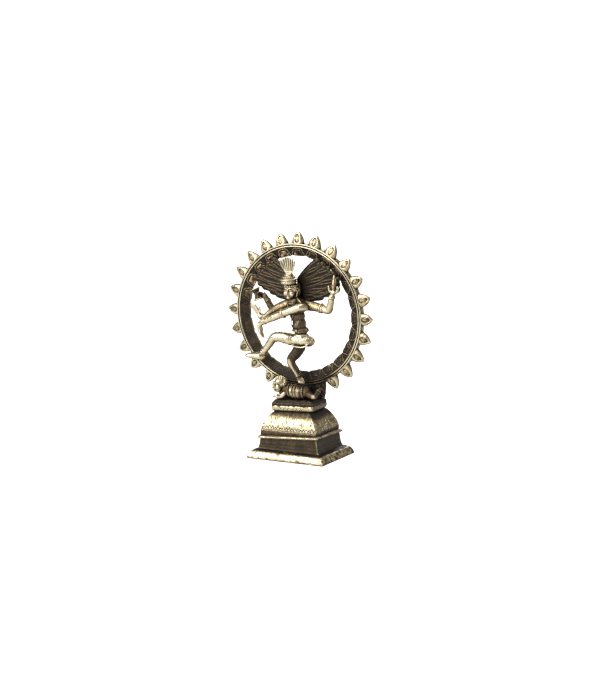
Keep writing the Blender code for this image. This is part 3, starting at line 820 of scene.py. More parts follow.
def ring_section():
    """Points of (radius, depth) round the cross-section, from the outer back, counter-clockwise."""
    outer, front, back = RING_RADIUS, RING_LOW.y, RING_TOP.y
    section = [(outer, back), (outer, front + 0.9)]
    for centre in (outer - 0.28, outer - 1.17):
        section += [(centre + 0.27 * math.cos(a), front + 0.27 - 0.27 * math.sin(a))
                    for a in (math.radians(d) for d in range(10, 171, 32))]
        section.append((centre - 0.34, front + 0.62))
    start = (outer - 1.62, front + 0.66)
    end = (outer - 1.62 - BAND_WIDTH * 0.9, RING_LOW.y + 1.9)
    count = 30
    section += [tuple(a + (b - a) * i / count for a, b in zip(start, end)) for i in range(1, count + 1)]
    inner = end[0]
    section += [(inner - 0.1, front + 2.3), (inner - 0.1, back - 0.5), (inner + 0.15, back - 0.2)]
    section += [(inner + (outer - inner) * i / 10.0, back) for i in range(1, 10)]
    return section


def turned_ring():
    """Sweep the closed cross-section once round the ring's own axis."""
    section = ring_section()
    corners = section + section[:1]

    def place(s, t):
        radius, depth = corners[round(t * len(section))]
        return Vector((RING_MIDDLE.x + radius * math.sin(math.tau * s), depth,
                       RING_MIDDLE.z + radius * math.cos(math.tau * s)))

    return wrapped(RING_STEPS, len(section), place)


# %% Cloud panels on the band
def rounded_box(x, y, half_x, half_y, corner):
    """Signed distance to a rounded rectangle."""
    dx, dy = abs(x) - half_x + corner, abs(y) - half_y + corner
    return math.hypot(max(dx, 0.0), max(dy, 0.0)) + min(max(dx, dy), 0.0) - corner


def cloud_distance(angle, radius):
    """Signed distance to the nearest cloud: a wide foot by the inner edge and a narrower head."""
    step = math.tau / PANELS
    part = (angle / step + 0.5) % 1.0 - 0.5
    along = part * step * radius
    across = RING_RADIUS - 1.6 - radius
    foot = rounded_box(along, across - 2.95, 2.00, 0.75, 0.35)
    head = rounded_box(along, across - 1.90, 1.50, 0.95, 0.40)
    return min(foot, head)


def ring_surface(place, normal):
    """Panels and their outlines on the band; unevenness everywhere; painted highlights on the upper outlines,
    and wear mixed with painted light on the left.
    """
    x, z = place.x - RING_MIDDLE.x, place.z - RING_MIDDLE.z
    radius, angle = math.hypot(x, z), math.atan2(x, z)
    out = 0.06 * rough_cast(place, 2.2)
    dirt_and_painted_light = 0.12 * rough_cast(place, 1.6, 3.0)
    on_band = radius < RING_RADIUS - 1.55 and normal.y < 0.3
    if on_band:
        gap = cloud_distance(angle, radius)
        crisp = 0.15 + 0.85 * max(ease(z / RING_RADIUS, -0.05, 0.55), ease(x / RING_RADIUS, -0.1, 0.3))
        raised = crisp * (1.0 - ease(gap, -0.30, 0.02))
        out += 0.34 * raised + 0.22 * crisp * line(gap - 0.60, 0.26)
        # Wear on the raised panels, made stronger towards the left: partly random wear, partly painted light
        # on the key side.
        wear = raised * ease(rough_cast(place, 1.6, 7.0) - 0.5 * x / RING_RADIUS, -0.2, 0.5)
        # Painted highlight: the panel outlines are made paler towards the top of the ring.
        lit = 0.12 + 0.22 * ease(z / RING_RADIUS, -0.2, 0.4)
        dirt_and_painted_light += 0.18 - lit * crisp * line(gap - 0.60, 0.22) - 0.48 * wear
    low_part = ease(-z / RING_RADIUS + 0.1 * x / RING_RADIUS, 0.76, 0.90)
    dirt_and_painted_light += 0.35 * low_part
    if radius > RING_RADIUS - 1.6 and normal.y < -0.55:
        dirt_and_painted_light -= (0.62 + 0.2 * rough_cast(place, 1.0, 5.0)) * (1.0 - low_part)
    return out, dirt_and_painted_light


ring = turned_ring()
push(ring, ring_surface)
for vert in ring.verts:
    x, z = vert.co.x - RING_MIDDLE.x, vert.co.z - RING_MIDDLE.z
    radius, angle = math.hypot(x, z), math.atan2(x, z)
    near_edge = 1.0 - ease(radius, RING_RADIUS - 5.3, RING_RADIUS - 3.9)
    notch = line(((angle / math.tau * PANELS) % 1.0 - 0.5) * 6.4, 1.0)
    pull = 1.0 + 0.32 * near_edge * notch / radius
    vert.co.x = RING_MIDDLE.x + x * pull
    vert.co.z = RING_MIDDLE.z + z * pull
cast("ring_cast", ring, RING_BRASS, "aged_brass", "ring_band", sharp=60.0)

# %% [markdown]
# ## Flames
#
# Twenty-one flames stand on the ring. Each is a plump leaf with a drop-shaped cut in its face.
# They are made in a loop, one piece each, with small fixed differences in length and lean,
# as flames made by hand have. A sphere is the right start: its poles become the root and the
# tip.

# %% One flame
FLAME_COUNT = 21
FLAME_STEP = math.radians(15.07)
FLAME_LENGTH = 5.25
FLAME_SUNK = 0.45


def flame_shape(number):
    """A leaf 5 mm long, upright at the origin, its face towards -Y."""
    bm = bmesh.new()
    bmesh.ops.create_uvsphere(bm, u_segments=56, v_segments=40, radius=1.0)
    grime_and_painted_light = bm.verts.layers.float.new("grime_and_painted_light")
    plump = 1.0 + 0.10 * (hashed(number, 3.0) - 0.5)
    for vert in bm.verts:
        t = (vert.co.z + 1.0) * 0.5
        width = 2.80 * (1.0 - t ** 1.8) ** 0.74 * min(1.0, (t + 0.02) * 14.0) ** 0.5
        flat = math.hypot(vert.co.x, vert.co.y) or 1.0
        x, y = vert.co.x / flat, vert.co.y / flat
        face = ease(-y, 0.0, 0.8)
        wide = math.copysign(abs(x) ** 0.8, x) * width * plump
        deep = y * 0.56 * width * (1.0 - 0.10 * face)
        vert.co = Vector((wide, deep, FLAME_LENGTH * t))
        drop = math.hypot(wide / 0.92, (FLAME_LENGTH * t - 1.9) / (1.9 if t > 0.36 else 1.15)) - 1.0
        tongue = math.hypot(wide / 0.42, (FLAME_LENGTH * t - 1.8) / (1.35 if t > 0.34 else 0.7)) - 1.0
        cut = face * max(line(drop, 0.22), 0.8 * line(tongue, 0.36)) * (0.6 + 0.4 * hashed(number, 8.0))
        vert.co.y += 0.22 * cut
        # Painted shade: the flanks and back of each flame are darker and its face a little paler, as light
        # falls from the front.
        side = 1.0 - ease(-y, -0.1, 0.55)
        patches = 0.25 * rough_cast(vert.co, 0.9, number * 2.3)
        root = 0.30 * (1.0 - ease(t, 0.0, 0.16))
        vert[grime_and_painted_light] = 0.75 * cut + 0.50 * side - 0.08 * face + patches + root
    for vert in bm.verts:
        vert.co += vert.co.normalized() * 0.10 * rough_cast(vert.co, 1.3, number * 3.7)
    bmesh.ops.recalc_face_normals(bm, faces=bm.faces)
    return bm


def build_flame(number):
    """Stand one flame at its own angle on the ring."""
    node = f"flame_{number:02d}"
    low, top = span(node)
    angle = (number - (FLAME_COUNT + 1) // 2) * FLAME_STEP
    bm = flame_shape(number)
    lean = math.radians(5.0) * (hashed(number, 1.0) - 0.5)
    size = 1.0 + 0.07 * (hashed(number, 2.0) - 0.5)
    bmesh.ops.scale(bm, vec=(1.0, 1.0, size), verts=bm.verts)
    bmesh.ops.rotate(bm, cent=(0.0, 0.0, 0.0), verts=bm.verts,
                     matrix=Matrix.Rotation(lean, 3, "Y"))
    depth = (low.y + top.y) * 0.5
    bmesh.ops.translate(bm, vec=(0.0, depth, RING_RADIUS - FLAME_SUNK), verts=bm.verts)
    bmesh.ops.rotate(bm, cent=(0.0, 0.0, 0.0), verts=bm.verts,
                     matrix=Matrix.Rotation(angle, 3, "Y"))
    bmesh.ops.translate(bm, vec=(RING_MIDDLE.x, 0.0, RING_MIDDLE.z), verts=bm.verts)
    cast(node + "_cast", bm, FLAME_BRASS, "flame_brass", node)


for number in range(1, FLAME_COUNT + 1):
    build_flame(number)

# %% [markdown]
# ## Modelling like wax
#
# The figures look modelled in wax: rolled limbs, pressed-on lumps and thin threads, all melted
# together before casting. The same order works here. Balls, rods and threads are pressed into
# one heap, a voxel Remesh melts them into a single skin, and a few rounds of smoothing take the
# steps out. Each limb is its own casting and runs a little into its neighbour.

# %% Balls and rods of wax
def unit_shape(make, **options):
    """Corners and faces of one simple shape; it is made once and pressed into the wax many times."""
    bm = bmesh.new()
    make(bm, **options)
    bm.verts.index_update()
    shape = [v.co.copy() for v in bm.verts], [[v.index for v in f.verts] for f in bm.faces]
    bm.free()
    return shape


BIG_BALL = unit_shape(bmesh.ops.create_uvsphere, u_segments=18, v_segments=12, radius=1.0)
SMALL_BALL = unit_shape(bmesh.ops.create_uvsphere, u_segments=9, v_segments=6, radius=1.0)
TUBE = unit_shape(bmesh.ops.create_cone, cap_ends=True, segments=12, radius1=1.0, radius2=1.0, depth=1.0)


def new_wax():
    """Corners and faces that wait to be melted together."""
    return [], []


def press(wax, shape, place):
    """Add a copy of a shape, each corner moved by place."""
    first = len(wax[0])
    wax[0].extend(place(corner) for corner in shape[0])
    wax[1].extend([i + first for i in face] for face in shape[1])


def ball(wax, centre, halves, turn=None):
    """A ball, or an ellipsoid when halves has three numbers."""
    if isinstance(halves, float):
        halves = (halves, halves, halves)
    turned = turn.to_4x4() if turn else Matrix()
    place = Matrix.Translation(centre) @ turned @ Matrix.Diagonal((*halves, 1.0))
    press(wax, BIG_BALL if max(halves) > 0.5 else SMALL_BALL, lambda corner: place @ corner)


def rod(wax, start, start_radius, end, end_radius):
    """A tapered rod from one point to another."""
    way = end - start
    if way.length < 0.02:
        return
    turn = way.to_track_quat("Z", "Y").to_matrix()
    middle = (start + end) * 0.5

    def place(corner):
        radius = start_radius if corner.z < 0.0 else end_radius
        return middle + turn @ Vector((corner.x * radius, corner.y * radius, corner.z * way.length))

    press(wax, TUBE, place)


# %% Strokes, limbs and hoops
def stroke(wax, joints, steps=4):
    """A rolled length of wax through (point, radius) joints, bent softly between them."""
    padded = [joints[0], *joints, joints[-1]]
    path = []
    for (a, _), (b, thick), (c, thin), (d, _) in zip(padded, padded[1:], padded[2:], padded[3:]):
        for i in range(steps):
            t = i / steps
            point = 0.5 * (2.0 * b + (c - a) * t + (2.0 * a - 5.0 * b + 4.0 * c - d) * t * t
                           + (3.0 * b - a - 3.0 * c + d) * t ** 3)
            path.append((point, thick + (thin - thick) * t))
    path.append(joints[-1])
    for i, (point, radius) in enumerate(path):
        ball(wax, point, float(radius))
        if i:
            rod(wax, path[i - 1][0], path[i - 1][1], point, radius)


def limb(wax, place, *joints, steps=4):
    """Join rods through joints (x, y, z, radius); place turns the first three into a point."""
    stroke(wax, [(place(*joint[:3]), joint[3]) for joint in joints], steps)


def hoop(wax, centre, axis, radius, thick, squash=1.0, beads=0):
    """A ring of thread round an axis; beads adds that many balls on it."""
    turn = axis.to_track_quat("Z", "Y").to_matrix()

    def on_ring(angle):
        return centre + turn @ Vector((radius * math.cos(angle), radius * squash * math.sin(angle), 0.0))

    count = max(14, int(radius * 10))
    ring_points = [on_ring(math.tau * i / count) for i in range(count)]
    for here, there in zip(ring_points, ring_points[1:] + ring_points[:1]):
        ball(wax, here, thick)
        rod(wax, here, thick, there, thick)
    for i in range(beads):
        ball(wax, on_ring(math.tau * i / beads), thick * 1.5)


# %% Melting the wax into one skin
def drop_crumbs(skin, least=60):
    """Remove closed bubbles and crumbs that are too small to belong to the casting."""
    left = set(skin.verts)
    while left:
        crumb = [left.pop()]
        for vert in crumb:
            for edge in vert.link_edges:
                other = edge.other_vert(vert)
                if other in left:
                    left.discard(other)
                    crumb.append(other)
        if len(crumb) < least:
            bmesh.ops.delete(skin, geom=crumb, context="VERTS")


def melt(wax, voxel=0.16, rounds=3):
    """Fuse overlapping shapes into one skin and relax it."""
    mesh = bpy.data.meshes.new("wax")
    mesh.from_pydata(wax[0], [], wax[1])
    lump = bpy.data.objects.new("wax", mesh)
    bpy.context.scene.collection.objects.link(lump)
    heat = lump.modifiers.new("heat", "REMESH")
    heat.mode = "VOXEL"
    heat.voxel_size = voxel
    graph = bpy.context.evaluated_depsgraph_get()
    result = bpy.data.meshes.new_from_object(lump.evaluated_get(graph))
    bpy.data.objects.remove(lump, do_unlink=True)
    skin = bmesh.new()
    skin.from_mesh(result)
    bpy.data.meshes.remove(result)
    bpy.data.meshes.remove(mesh)
    drop_crumbs(skin)
    for _ in range(rounds):
        bmesh.ops.smooth_vert(skin, verts=skin.verts, factor=0.5, use_axis_x=True,
                              use_axis_y=True, use_axis_z=True)
    return skin


# %% Plain finishes
def distance_to(place, path):
    """Distance from a point to a line drawn through points."""
    best = 99.0
    for a, b in zip(path, path[1:]):
        way = b - a
        t = min(max((place - a).dot(way) / max(way.length_squared, 1e-9), 0.0), 1.0)
        best = min(best, (place - a - way * t).length)
    return best


def waxy(place, normal):
    """The plain finish of a limb: slow unevenness and patches of patina."""
    return 0.05 * rough_cast(place, 1.4), 0.10 * rough_cast(place, 1.2, 9.0)


def waxy_with(shade):
    """The plain finish with an extra darkening of its own added; callers use it for painted shade on surfaces
    that face down and for darkening towards the body.
    """
    def finish(place, normal):
        out, dirt_and_painted_light = waxy(place, normal)
        return out, shade(place, normal) + dirt_and_painted_light

    return finish


# %% Hands and feet
FINGERS = ((-0.93, 1.55, 0.40), (-0.31, 1.95, 0.44), (0.31, 1.85, 0.43), (0.90, 1.40, 0.38))


def hand(wax, wrist, along, palm, size=1.0, curl=0.0, thumb=1.0):
    """An open hand: four fingers from the palm, curled towards it, and a thumb to one side."""
    along, palm = along.normalized(), palm.normalized()
    side = along.cross(palm).normalized()
    knuckles = wrist + along * 1.9 * size
    ball(wax, wrist + along * 1.05 * size, (0.55 * size,) * 3)
    for offset, length, radius in FINGERS:
        root = knuckles + side * offset * size * 0.72
        middle = knuckles + side * offset * size * 0.85 + (along + palm * curl * 0.4) * length * 0.5 * size
        tip = middle + (along + palm * curl) * length * 0.55 * size
        stroke(wax, [(wrist + side * offset * size * 0.35, 0.50 * size), (root, 0.40 * size),
                    (middle, radius * size), (tip, radius * size * 0.85)], 3)
    web = wrist + along * 0.5 * size + side * thumb * 0.6 * size
    stroke(wax, [(web, 0.45 * size), (web + (side * thumb * 0.9 + along * 0.55) * size, 0.38 * size),
                (web + (side * thumb * 1.15 + along * 1.5) * size, 0.30 * size)], 3)


def foot(wax, ankle, toe, up, size=1.0):
    """A foot from heel to toes, with an arch."""
    along = (toe - ankle).normalized()
    side = along.cross(up).normalized()
    ball(wax, ankle - along * 0.5 * size - up * 0.45 * size, 0.95 * size)
    length = (toe - ankle).length
    for offset in (-0.7, -0.35, 0.0, 0.35, 0.7):
        root = ankle + side * offset * 0.45 * size - up * 0.3 * size
        front = toe + side * offset * 1.25 * size - along * (0.9 + 0.35 * abs(offset + 0.3)) * size
        stroke(wax, [(root, 0.95 * size), (root.lerp(front, 0.55) + up * 0.1, 0.82 * size),
                    (front, 0.60 * size), (front + along * 0.55 * size, 0.46 * size)], 3)
    print("foot of", round(length, 1), "mm")


# %% [markdown]
# ## The root and the hair
#
# Below the ring a rough web of metal carries it down to the seat. It may be the gate that the
# metal ran through, never cleaned up. The dancer's hair flies out in two wings that touch the
# ring. Each wing is a thin web with wavy locks laid over it; every lock ends in a small curl.

# %% Web under the ring
def arc_point(angle, radius, depth):
    """A point on the ring's own circle; the angle runs clockwise from the top, in degrees."""
    turn = math.radians(angle)
    return Vector((RING_MIDDLE.x + radius * math.sin(turn), depth,
                   RING_MIDDLE.z + radius * math.cos(turn)))


def build_root():
    """Ribs from the seat up to the ring."""
    low, top = span("ring_root")
    wax = new_wax()
    for k in range(15):
        t = k / 14.0
        bottom = Vector((low.x * 0.80 + (top.x - low.x) * 0.80 * t, (low.y + top.y) * 0.5, low.z + 1.0))
        upper = arc_point(180.0 + 23.0 - 46.0 * t, RING_RADIUS - 2.0, (low.y + top.y) * 0.5 + 0.6)
        swell = 1.15 + 0.12 * math.cos(k * 2.1)
        stroke(wax, [(bottom, 1.05), (bottom.lerp(upper, 0.5), swell), (upper, 0.9)], 2)
    skin = melt(wax, 0.24, 3)
    push(skin, lambda place, normal: (0.22 * rough_cast(place, 1.3) + 0.12 * rough_cast(place, 0.6),
                                      0.15 + 0.1 * rough_cast(place, 0.9, 2.0)))
    cast("ring_root_cast", skin, HAIR_BRASS, "aged_brass", "ring_root")


build_root()


# %% Two wings of hair
def lock(wax, start, end, depth, radius, phase, bow):
    """One wavy lock from behind the head to the ring, with a curl at its end."""
    way = end - start
    across = Vector((-way.z, 0.0, way.x)).normalized()
    joints = []
    for i in range(9):
        t = i / 8.0
        wave = 0.26 * math.sin(t * 10.0 + phase) * ease(t, 0.1, 0.4)
        point = start + way * t + across * (wave + bow * math.sin(t * math.pi))
        point.y = depth
        joints.append((point, radius * (1.1 - 0.25 * t)))
    tip, forward = joints[-1][0], way.normalized()
    turn_in = math.copysign(1.0, across.z)
    joints.append((tip + across * 0.55 * turn_in + forward * 0.15, radius * 0.8))
    joints.append((tip + across * 0.75 * turn_in - forward * 0.45, radius * 0.75))
    stroke(wax, joints, 2)


def build_wing(name, node, first, last, count, bend, short):
    """A web of thin metal with raised locks on both faces, from the crown down to the nape."""
    low, top = span(node)
    middle = (low.y + top.y) * 0.5
    crown, nape = at("head", 0.50, 0.94, 1.15), at("head", 0.50, 0.94, 0.03)
    wax = new_wax()
    for k in range(count):
        t = k / (count - 1.0)
        start = crown.lerp(nape, t) + Vector((0.8 * math.copysign(1.0, first), 0.0, 0.0))
        reach = RING_RADIUS - 4.6 - 0.9 * (k % 2)
        end = arc_point(first + (last - first) * t, reach, middle)
        end = start.lerp(end, 1.0 - short * max(0.0, t - 0.70) / 0.30)
        bow = bend * (0.4 - 1.0 * t)
        lock(wax, start, end, middle - 0.30, 0.33, k * 1.9, bow)
        lock(wax, start, end, middle + 0.30, 0.33, k * 1.9 + 0.7, bow)
        across = Vector((start.z - end.z, 0.0, end.x - start.x)).normalized()
        for step in range(15):
            s = step / 14.0
            spot = start.lerp(end, 0.97 * s) + across * bow * math.sin(s * math.pi)
            spot.y = middle
            wide = 0.75 + 0.75 * s
            ball(wax, spot, (wide, 0.26, wide))
    skin = melt(wax, 0.17, 3)
    heart = at("head", 0.50, 1.09, 0.73)

    def finish(place, normal):
        shade = ease(abs(normal.y), 0.5, 0.95)
        near_head = 1.0 - ease((place - heart).length, 4.0, 9.0)
        return 0.05 * rough_cast(place, 0.8), 0.10 * shade + 0.10 * near_head - 0.06

    push(skin, finish)
    cast(name, skin, HAIR_BRASS, "aged_brass", node)


build_wing("hair_left_cast", "hair_fan_left", 22.5, 68.0, 14, 1.0, 0.50)
build_wing("hair_right_cast", "hair_fan_right", -27.5, -70.0, 13, -1.0, 0.62)

# %% [markdown]
# ## The dancer's body
#
# The trunk is built as a sculptor would mass it: rib cage, waist and pelvis, then the chest and
# the belly, then the cords of the necklaces and the sacred thread. The cloth round the hips and
# the raised thigh shine, because they stand furthest forward and are rubbed, and because they
# take the lit copy of the brass; the trunk behind them takes the shaded copy, which is painted
# shade.

# %% Trunk
def build_trunk():
    """Rib cage, belly, shoulders and neck, with necklaces, thread and belt."""
    spot = partial(at, "torso")
    wax = new_wax()
    ball(wax, spot(0.48, 0.42, 0.74), (4.1, 2.5, 2.6), Matrix.Rotation(0.10, 3, "Y"))
    ball(wax, spot(0.54, 0.44, 0.54), (3.3, 2.3, 3.0))
    ball(wax, spot(0.61, 0.46, 0.30), (2.9, 2.3, 3.6))
    ball(wax, spot(0.66, 0.50, 0.11), (3.1, 2.5, 2.0))
    ball(wax, spot(0.30, 0.16, 0.76), (1.75, 1.25, 1.35))
    ball(wax, spot(0.66, 0.16, 0.79), (1.75, 1.25, 1.35))
    ball(wax, spot(0.61, 0.14, 0.27), (1.7, 1.0, 1.7))
    ball(wax, spot(0.45, 0.26, 0.88), (2.7, 1.6, 1.7))
    ball(wax, spot(0.89, 0.44, 0.85), (1.7, 2.2, 1.5))
    ball(wax, spot(0.04, 0.62, 0.75), (1.6, 2.2, 1.5))
    limb(wax, spot, (0.45, 0.46, 0.86, 2.3), (0.42, 0.46, 0.98, 2.1), (0.39, 0.46, 1.11, 1.9))
    ball(wax, spot(0.43, 0.22, 0.96), (2.3, 1.5, 1.9))
    ball(wax, spot(0.19, 0.42, 0.92), (2.4, 1.8, 1.35), Matrix.Rotation(-0.50, 3, "Y"))
    ball(wax, spot(0.67, 0.46, 0.96), (2.7, 1.8, 1.35), Matrix.Rotation(0.32, 3, "Y"))
    for k in range(6):
        stroke(wax, [(spot(0.51, 0.48, 1.10) + Vector((0.12 * k, -0.25 * k, 0.0)), 0.32),
                     (spot(0.65, 0.46, 1.05) + Vector((0.16 * k, -0.38 * k, -0.08 * k)), 0.34),
                     (spot(0.90, 0.50, 0.96) + Vector((0.12 * k, -0.55 * k, -0.20 * k)), 0.28)])
    up = Vector((-0.1, -0.35, 1.0))
    hoop(wax, spot(0.42, 0.34, 0.96), up, 2.25, 0.20, beads=20)
    hoop(wax, spot(0.44, 0.22, 0.92), Vector((0.0, -0.75, 1.0)), 2.5, 0.20, beads=22)
    limb(wax, spot, (0.83, 0.20, 0.92, 0.22), (0.70, -0.07, 0.80, 0.22), (0.54, -0.06, 0.64, 0.22),
         (0.41, 0.00, 0.48, 0.22), (0.33, 0.16, 0.30, 0.22), (0.35, 0.28, 0.18, 0.2), steps=5)
    hoop(wax, spot(0.65, 0.48, 0.16), Vector((0.10, -0.12, 1.0)), 3.0, 0.22, 0.78)
    hoop(wax, spot(0.65, 0.48, 0.11), Vector((0.10, -0.12, 1.0)), 3.15, 0.24, 0.80, beads=26)
    ball(wax, spot(0.62, -0.10, 0.13), (0.65, 0.4, 0.6))
    skin = melt(wax, 0.14, 4)
    navel = spot(0.61, -0.06, 0.33)
    midline = [spot(0.59, -0.06, 0.40), spot(0.52, -0.08, 0.62), spot(0.49, -0.10, 0.80)]

    def finish(place, normal):
        cut = 0.0
        if normal.y < -0.2:
            cut = max(line((place - navel).length - 0.1, 0.34), 0.8 * line(distance_to(place, midline), 0.30))
        rubbed = ease(place.z, 51.0, 52.0) * (1.0 - ease(place.z, 52.4, 52.8))
        shoulder = ease(place.z, 59.2, 61.0) * 0.10
        return 0.05 * rough_cast(place, 1.2) - 0.14 * cut, 0.3 * cut - 0.12 * rubbed - shoulder

    push(skin, finish)
    cast("trunk_cast", skin, SHADED_TRUNK_BRASS, "aged_brass", "torso")


build_trunk()


# %% Cloth round the hips
def build_hips():
    """A short wrapped cloth: soft masses and raised fold threads that sweep to one side."""
    spot = partial(at, "hip_cloth")
    wax = new_wax()
    ball(wax, spot(0.51, 0.50, 0.56), (4.5, 3.2, 2.5))
    ball(wax, spot(0.23, 0.41, 0.60), (3.6, 2.8, 2.4))
    ball(wax, spot(0.69, 0.58, 0.46), (2.7, 2.6, 2.1))
    ball(wax, spot(0.42, 0.45, 0.94), (3.3, 2.6, 1.4))
    for k in range(4):
        fan = k - 1.5
        stroke(wax, [(spot(0.50, 0.14, 0.96) + Vector((0.35 * fan, 0.0, 0.0)), 0.20),
                     (spot(0.48, 0.09, 0.56) + Vector((1.2 * fan, 0.20 * abs(fan), 0.0)), 0.22),
                     (spot(0.46, 0.14, 0.26) + Vector((1.7 * fan, 0.45 * abs(fan), 0.0)), 0.20)])
    limb(wax, spot, (0.94, 0.45, 0.76, 0.3), (0.71, 0.12, 0.18, 0.34), (0.37, 0.09, 0.10, 0.34),
         (0.02, 0.23, 0.20, 0.3))
    skin = melt(wax, 0.15, 9)

    def finish(place, normal):
        fold = line(math.sin(place.x * 3.1 + place.z * 1.2) * 0.35, 0.16) * (normal.y < -0.1)
        # Painted shade: surfaces of the cloth that face down are darker.
        under = 1.0 - ease(normal.z, -0.85, -0.25)
        return 0.06 * rough_cast(place, 1.6) - 0.02 * fold, 0.12 * fold + 0.45 * under - 0.05

    push(skin, finish)
    cast("hip_cloth_cast", skin, LIT_LIMB_BRASS, "polished_brass", "hip_cloth")


build_hips()


# %% Standing leg
def build_standing_leg():
    """The bent leg on the dwarf: thigh, knee, shin, anklets and foot."""
    spot = partial(at, "standing_leg")
    wax = new_wax()
    limb(wax, spot, (0.70, 0.63, 1.01, 2.35), (0.52, 0.53, 0.85, 2.25),
         (0.26, 0.38, 0.68, 1.9), (0.23, 0.36, 0.58, 1.72), (0.32, 0.44, 0.45, 1.65),
         (0.45, 0.51, 0.35, 1.55), (0.60, 0.57, 0.19, 1.05), (0.67, 0.51, 0.14, 1.0))
    ball(wax, spot(0.21, 0.13, 0.62), (0.95, 0.7, 1.05))
    limb(wax, spot, (0.28, 0.11, 0.55, 0.5), (0.49, 0.23, 0.33, 0.5),
         (0.61, 0.32, 0.20, 0.4))
    shin = Vector((0.35, 0.1, -0.9))
    hoop(wax, spot(0.59, 0.56, 0.19), shin, 1.15, 0.24, beads=12)
    hoop(wax, spot(0.56, 0.55, 0.24), shin, 1.25, 0.17)
    foot(wax, spot(0.68, 0.48, 0.13), spot(1.06, -0.06, 0.04),
         Vector((0.0, 0.15, 1.0)).normalized(), 0.95)
    skin = melt(wax, 0.13, 6)
    ridge = [spot(0.20, 0.00, 0.65), spot(0.35, 0.04, 0.47),
             spot(0.60, 0.25, 0.22)]

    def finish(place, normal):
        streak = 1.0 - ease(distance_to(place, ridge), 0.3, 1.1)
        low_foot = 1.0 - ease(place.z, 31.6, 33.0)
        thigh = ease(place.z, 38.0, 41.0)
        return waxy(place, normal)[0], 0.14 * thigh - 0.5 * streak - 0.45 * low_foot

    push(skin, finish)
    cast("standing_leg_cast", skin, SHADED_TRUNK_BRASS, "aged_brass", "standing_leg")


build_standing_leg()


# %% Raised leg
def build_raised_leg():
    """The lifted leg across the body, its thigh wrapped in cloth, with anklets and a foot."""
    spot = partial(at, "raised_leg")
    wax = new_wax()
    limb(wax, spot, (1.06, 0.70, 0.74, 2.5), (0.89, 0.52, 0.81, 2.25),
         (0.74, 0.37, 0.81, 1.95), (0.65, 0.37, 0.71, 1.7), (0.58, 0.39, 0.57, 1.6),
         (0.50, 0.41, 0.42, 1.45), (0.40, 0.43, 0.24, 1.05), (0.34, 0.43, 0.15, 1.05))
    ball(wax, spot(0.68, 0.17, 0.79), (1.0, 0.8, 0.95))
    for k in range(6):
        t = k / 5.0
        place = spot(1.03, 0.66, 0.76).lerp(spot(0.73, 0.39, 0.81), t)
        tilt = Vector((-1.0, -0.25, 0.15 + 0.5 * math.sin(k * 1.7)))
        hoop(wax, place, tilt, 2.42 - 0.40 * t, 0.17)
    shin = Vector((-0.6, 0.05, -0.75))
    hoop(wax, spot(0.40, 0.43, 0.25), shin, 1.15, 0.24, beads=12)
    hoop(wax, spot(0.43, 0.43, 0.31), shin, 1.25, 0.17)
    foot(wax, spot(0.31, 0.43, 0.14), spot(-0.03, 0.41, 0.10),
         Vector((0.0, 0.0, 1.0)), 1.50)
    skin = melt(wax, 0.14, 6)

    # Painted shade: surfaces that face down are darker.
    push(skin, waxy_with(lambda place, normal: 0.40 * (1.0 - ease(normal.z, -0.9, -0.35))))
    cast("raised_leg_cast", skin, LIT_LIMB_BRASS, "polished_brass", "raised_leg")


build_raised_leg()


# %% [markdown]
# ## Four arms
#
# Two arms leave each shoulder. The front left arm sweeps across the chest and hangs down like
# an elephant's trunk; the front right hand is raised with an open palm. The back hands hold the
# drum and the flame. Every arm has bracelets, and all but the back right one have an armlet;
# their threads are thick, since thin ones would not fill with metal.

# %% Bracelets
def bangles(wax, place, axis, radius, beads=12):
    """A beaded bracelet with a plain one beside it."""
    hoop(wax, place, axis, radius, 0.25, beads=beads)
    hoop(wax, place + axis.normalized() * 0.62, axis, radius * 1.02, 0.17)


# %% Front left arm
def build_front_left_arm():
    """The arm that crosses the chest, with the hand hanging from the wrist."""
    spot = partial(at, "front_left_arm")
    wax = new_wax()
    limb(wax, spot, (0.94, 0.95, 0.89, 1.75), (0.88, 0.62, 0.89, 1.8),
         (0.72, 0.45, 0.80, 1.75), (0.51, 0.45, 0.67, 1.62), (0.37, 0.45, 0.57, 1.58),
         (0.25, 0.48, 0.49, 1.42), (0.12, 0.48, 0.39, 1.12), (0.06, 0.48, 0.32, 1.0))
    arm = Vector((-0.92, 0.0, -0.38))
    hoop(wax, spot(0.56, 0.45, 0.70), arm, 1.78, 0.26, beads=16)
    hoop(wax, spot(0.53, 0.45, 0.68), arm, 1.78, 0.20)
    ball(wax, spot(0.55, 0.05, 0.73), (0.6, 0.35, 0.75))
    bangles(wax, spot(0.16, 0.48, 0.43), arm, 1.28)
    limb(wax, spot, (0.05, 0.48, 0.32, 1.05), (0.05, 0.48, 0.20, 0.95),
         (0.07, 0.48, 0.09, 0.80), (0.11, 0.48, 0.00, 0.55))
    hand(wax, spot(0.06, 0.48, 0.29), Vector((0.12, 0.05, -1.0)), Vector((1.0, 0.2, 0.1)),
         1.22, 0.40, -1.0)
    skin = melt(wax, 0.12, 5)
    # Painted shade: surfaces that face down are darker.
    push(skin, waxy_with(lambda place, normal: 0.35 * (1.0 - ease(normal.z, -0.9, -0.3))))
    cast("front_left_arm_cast", skin, LIT_LIMB_BRASS, "polished_brass", "front_left_arm")


build_front_left_arm()


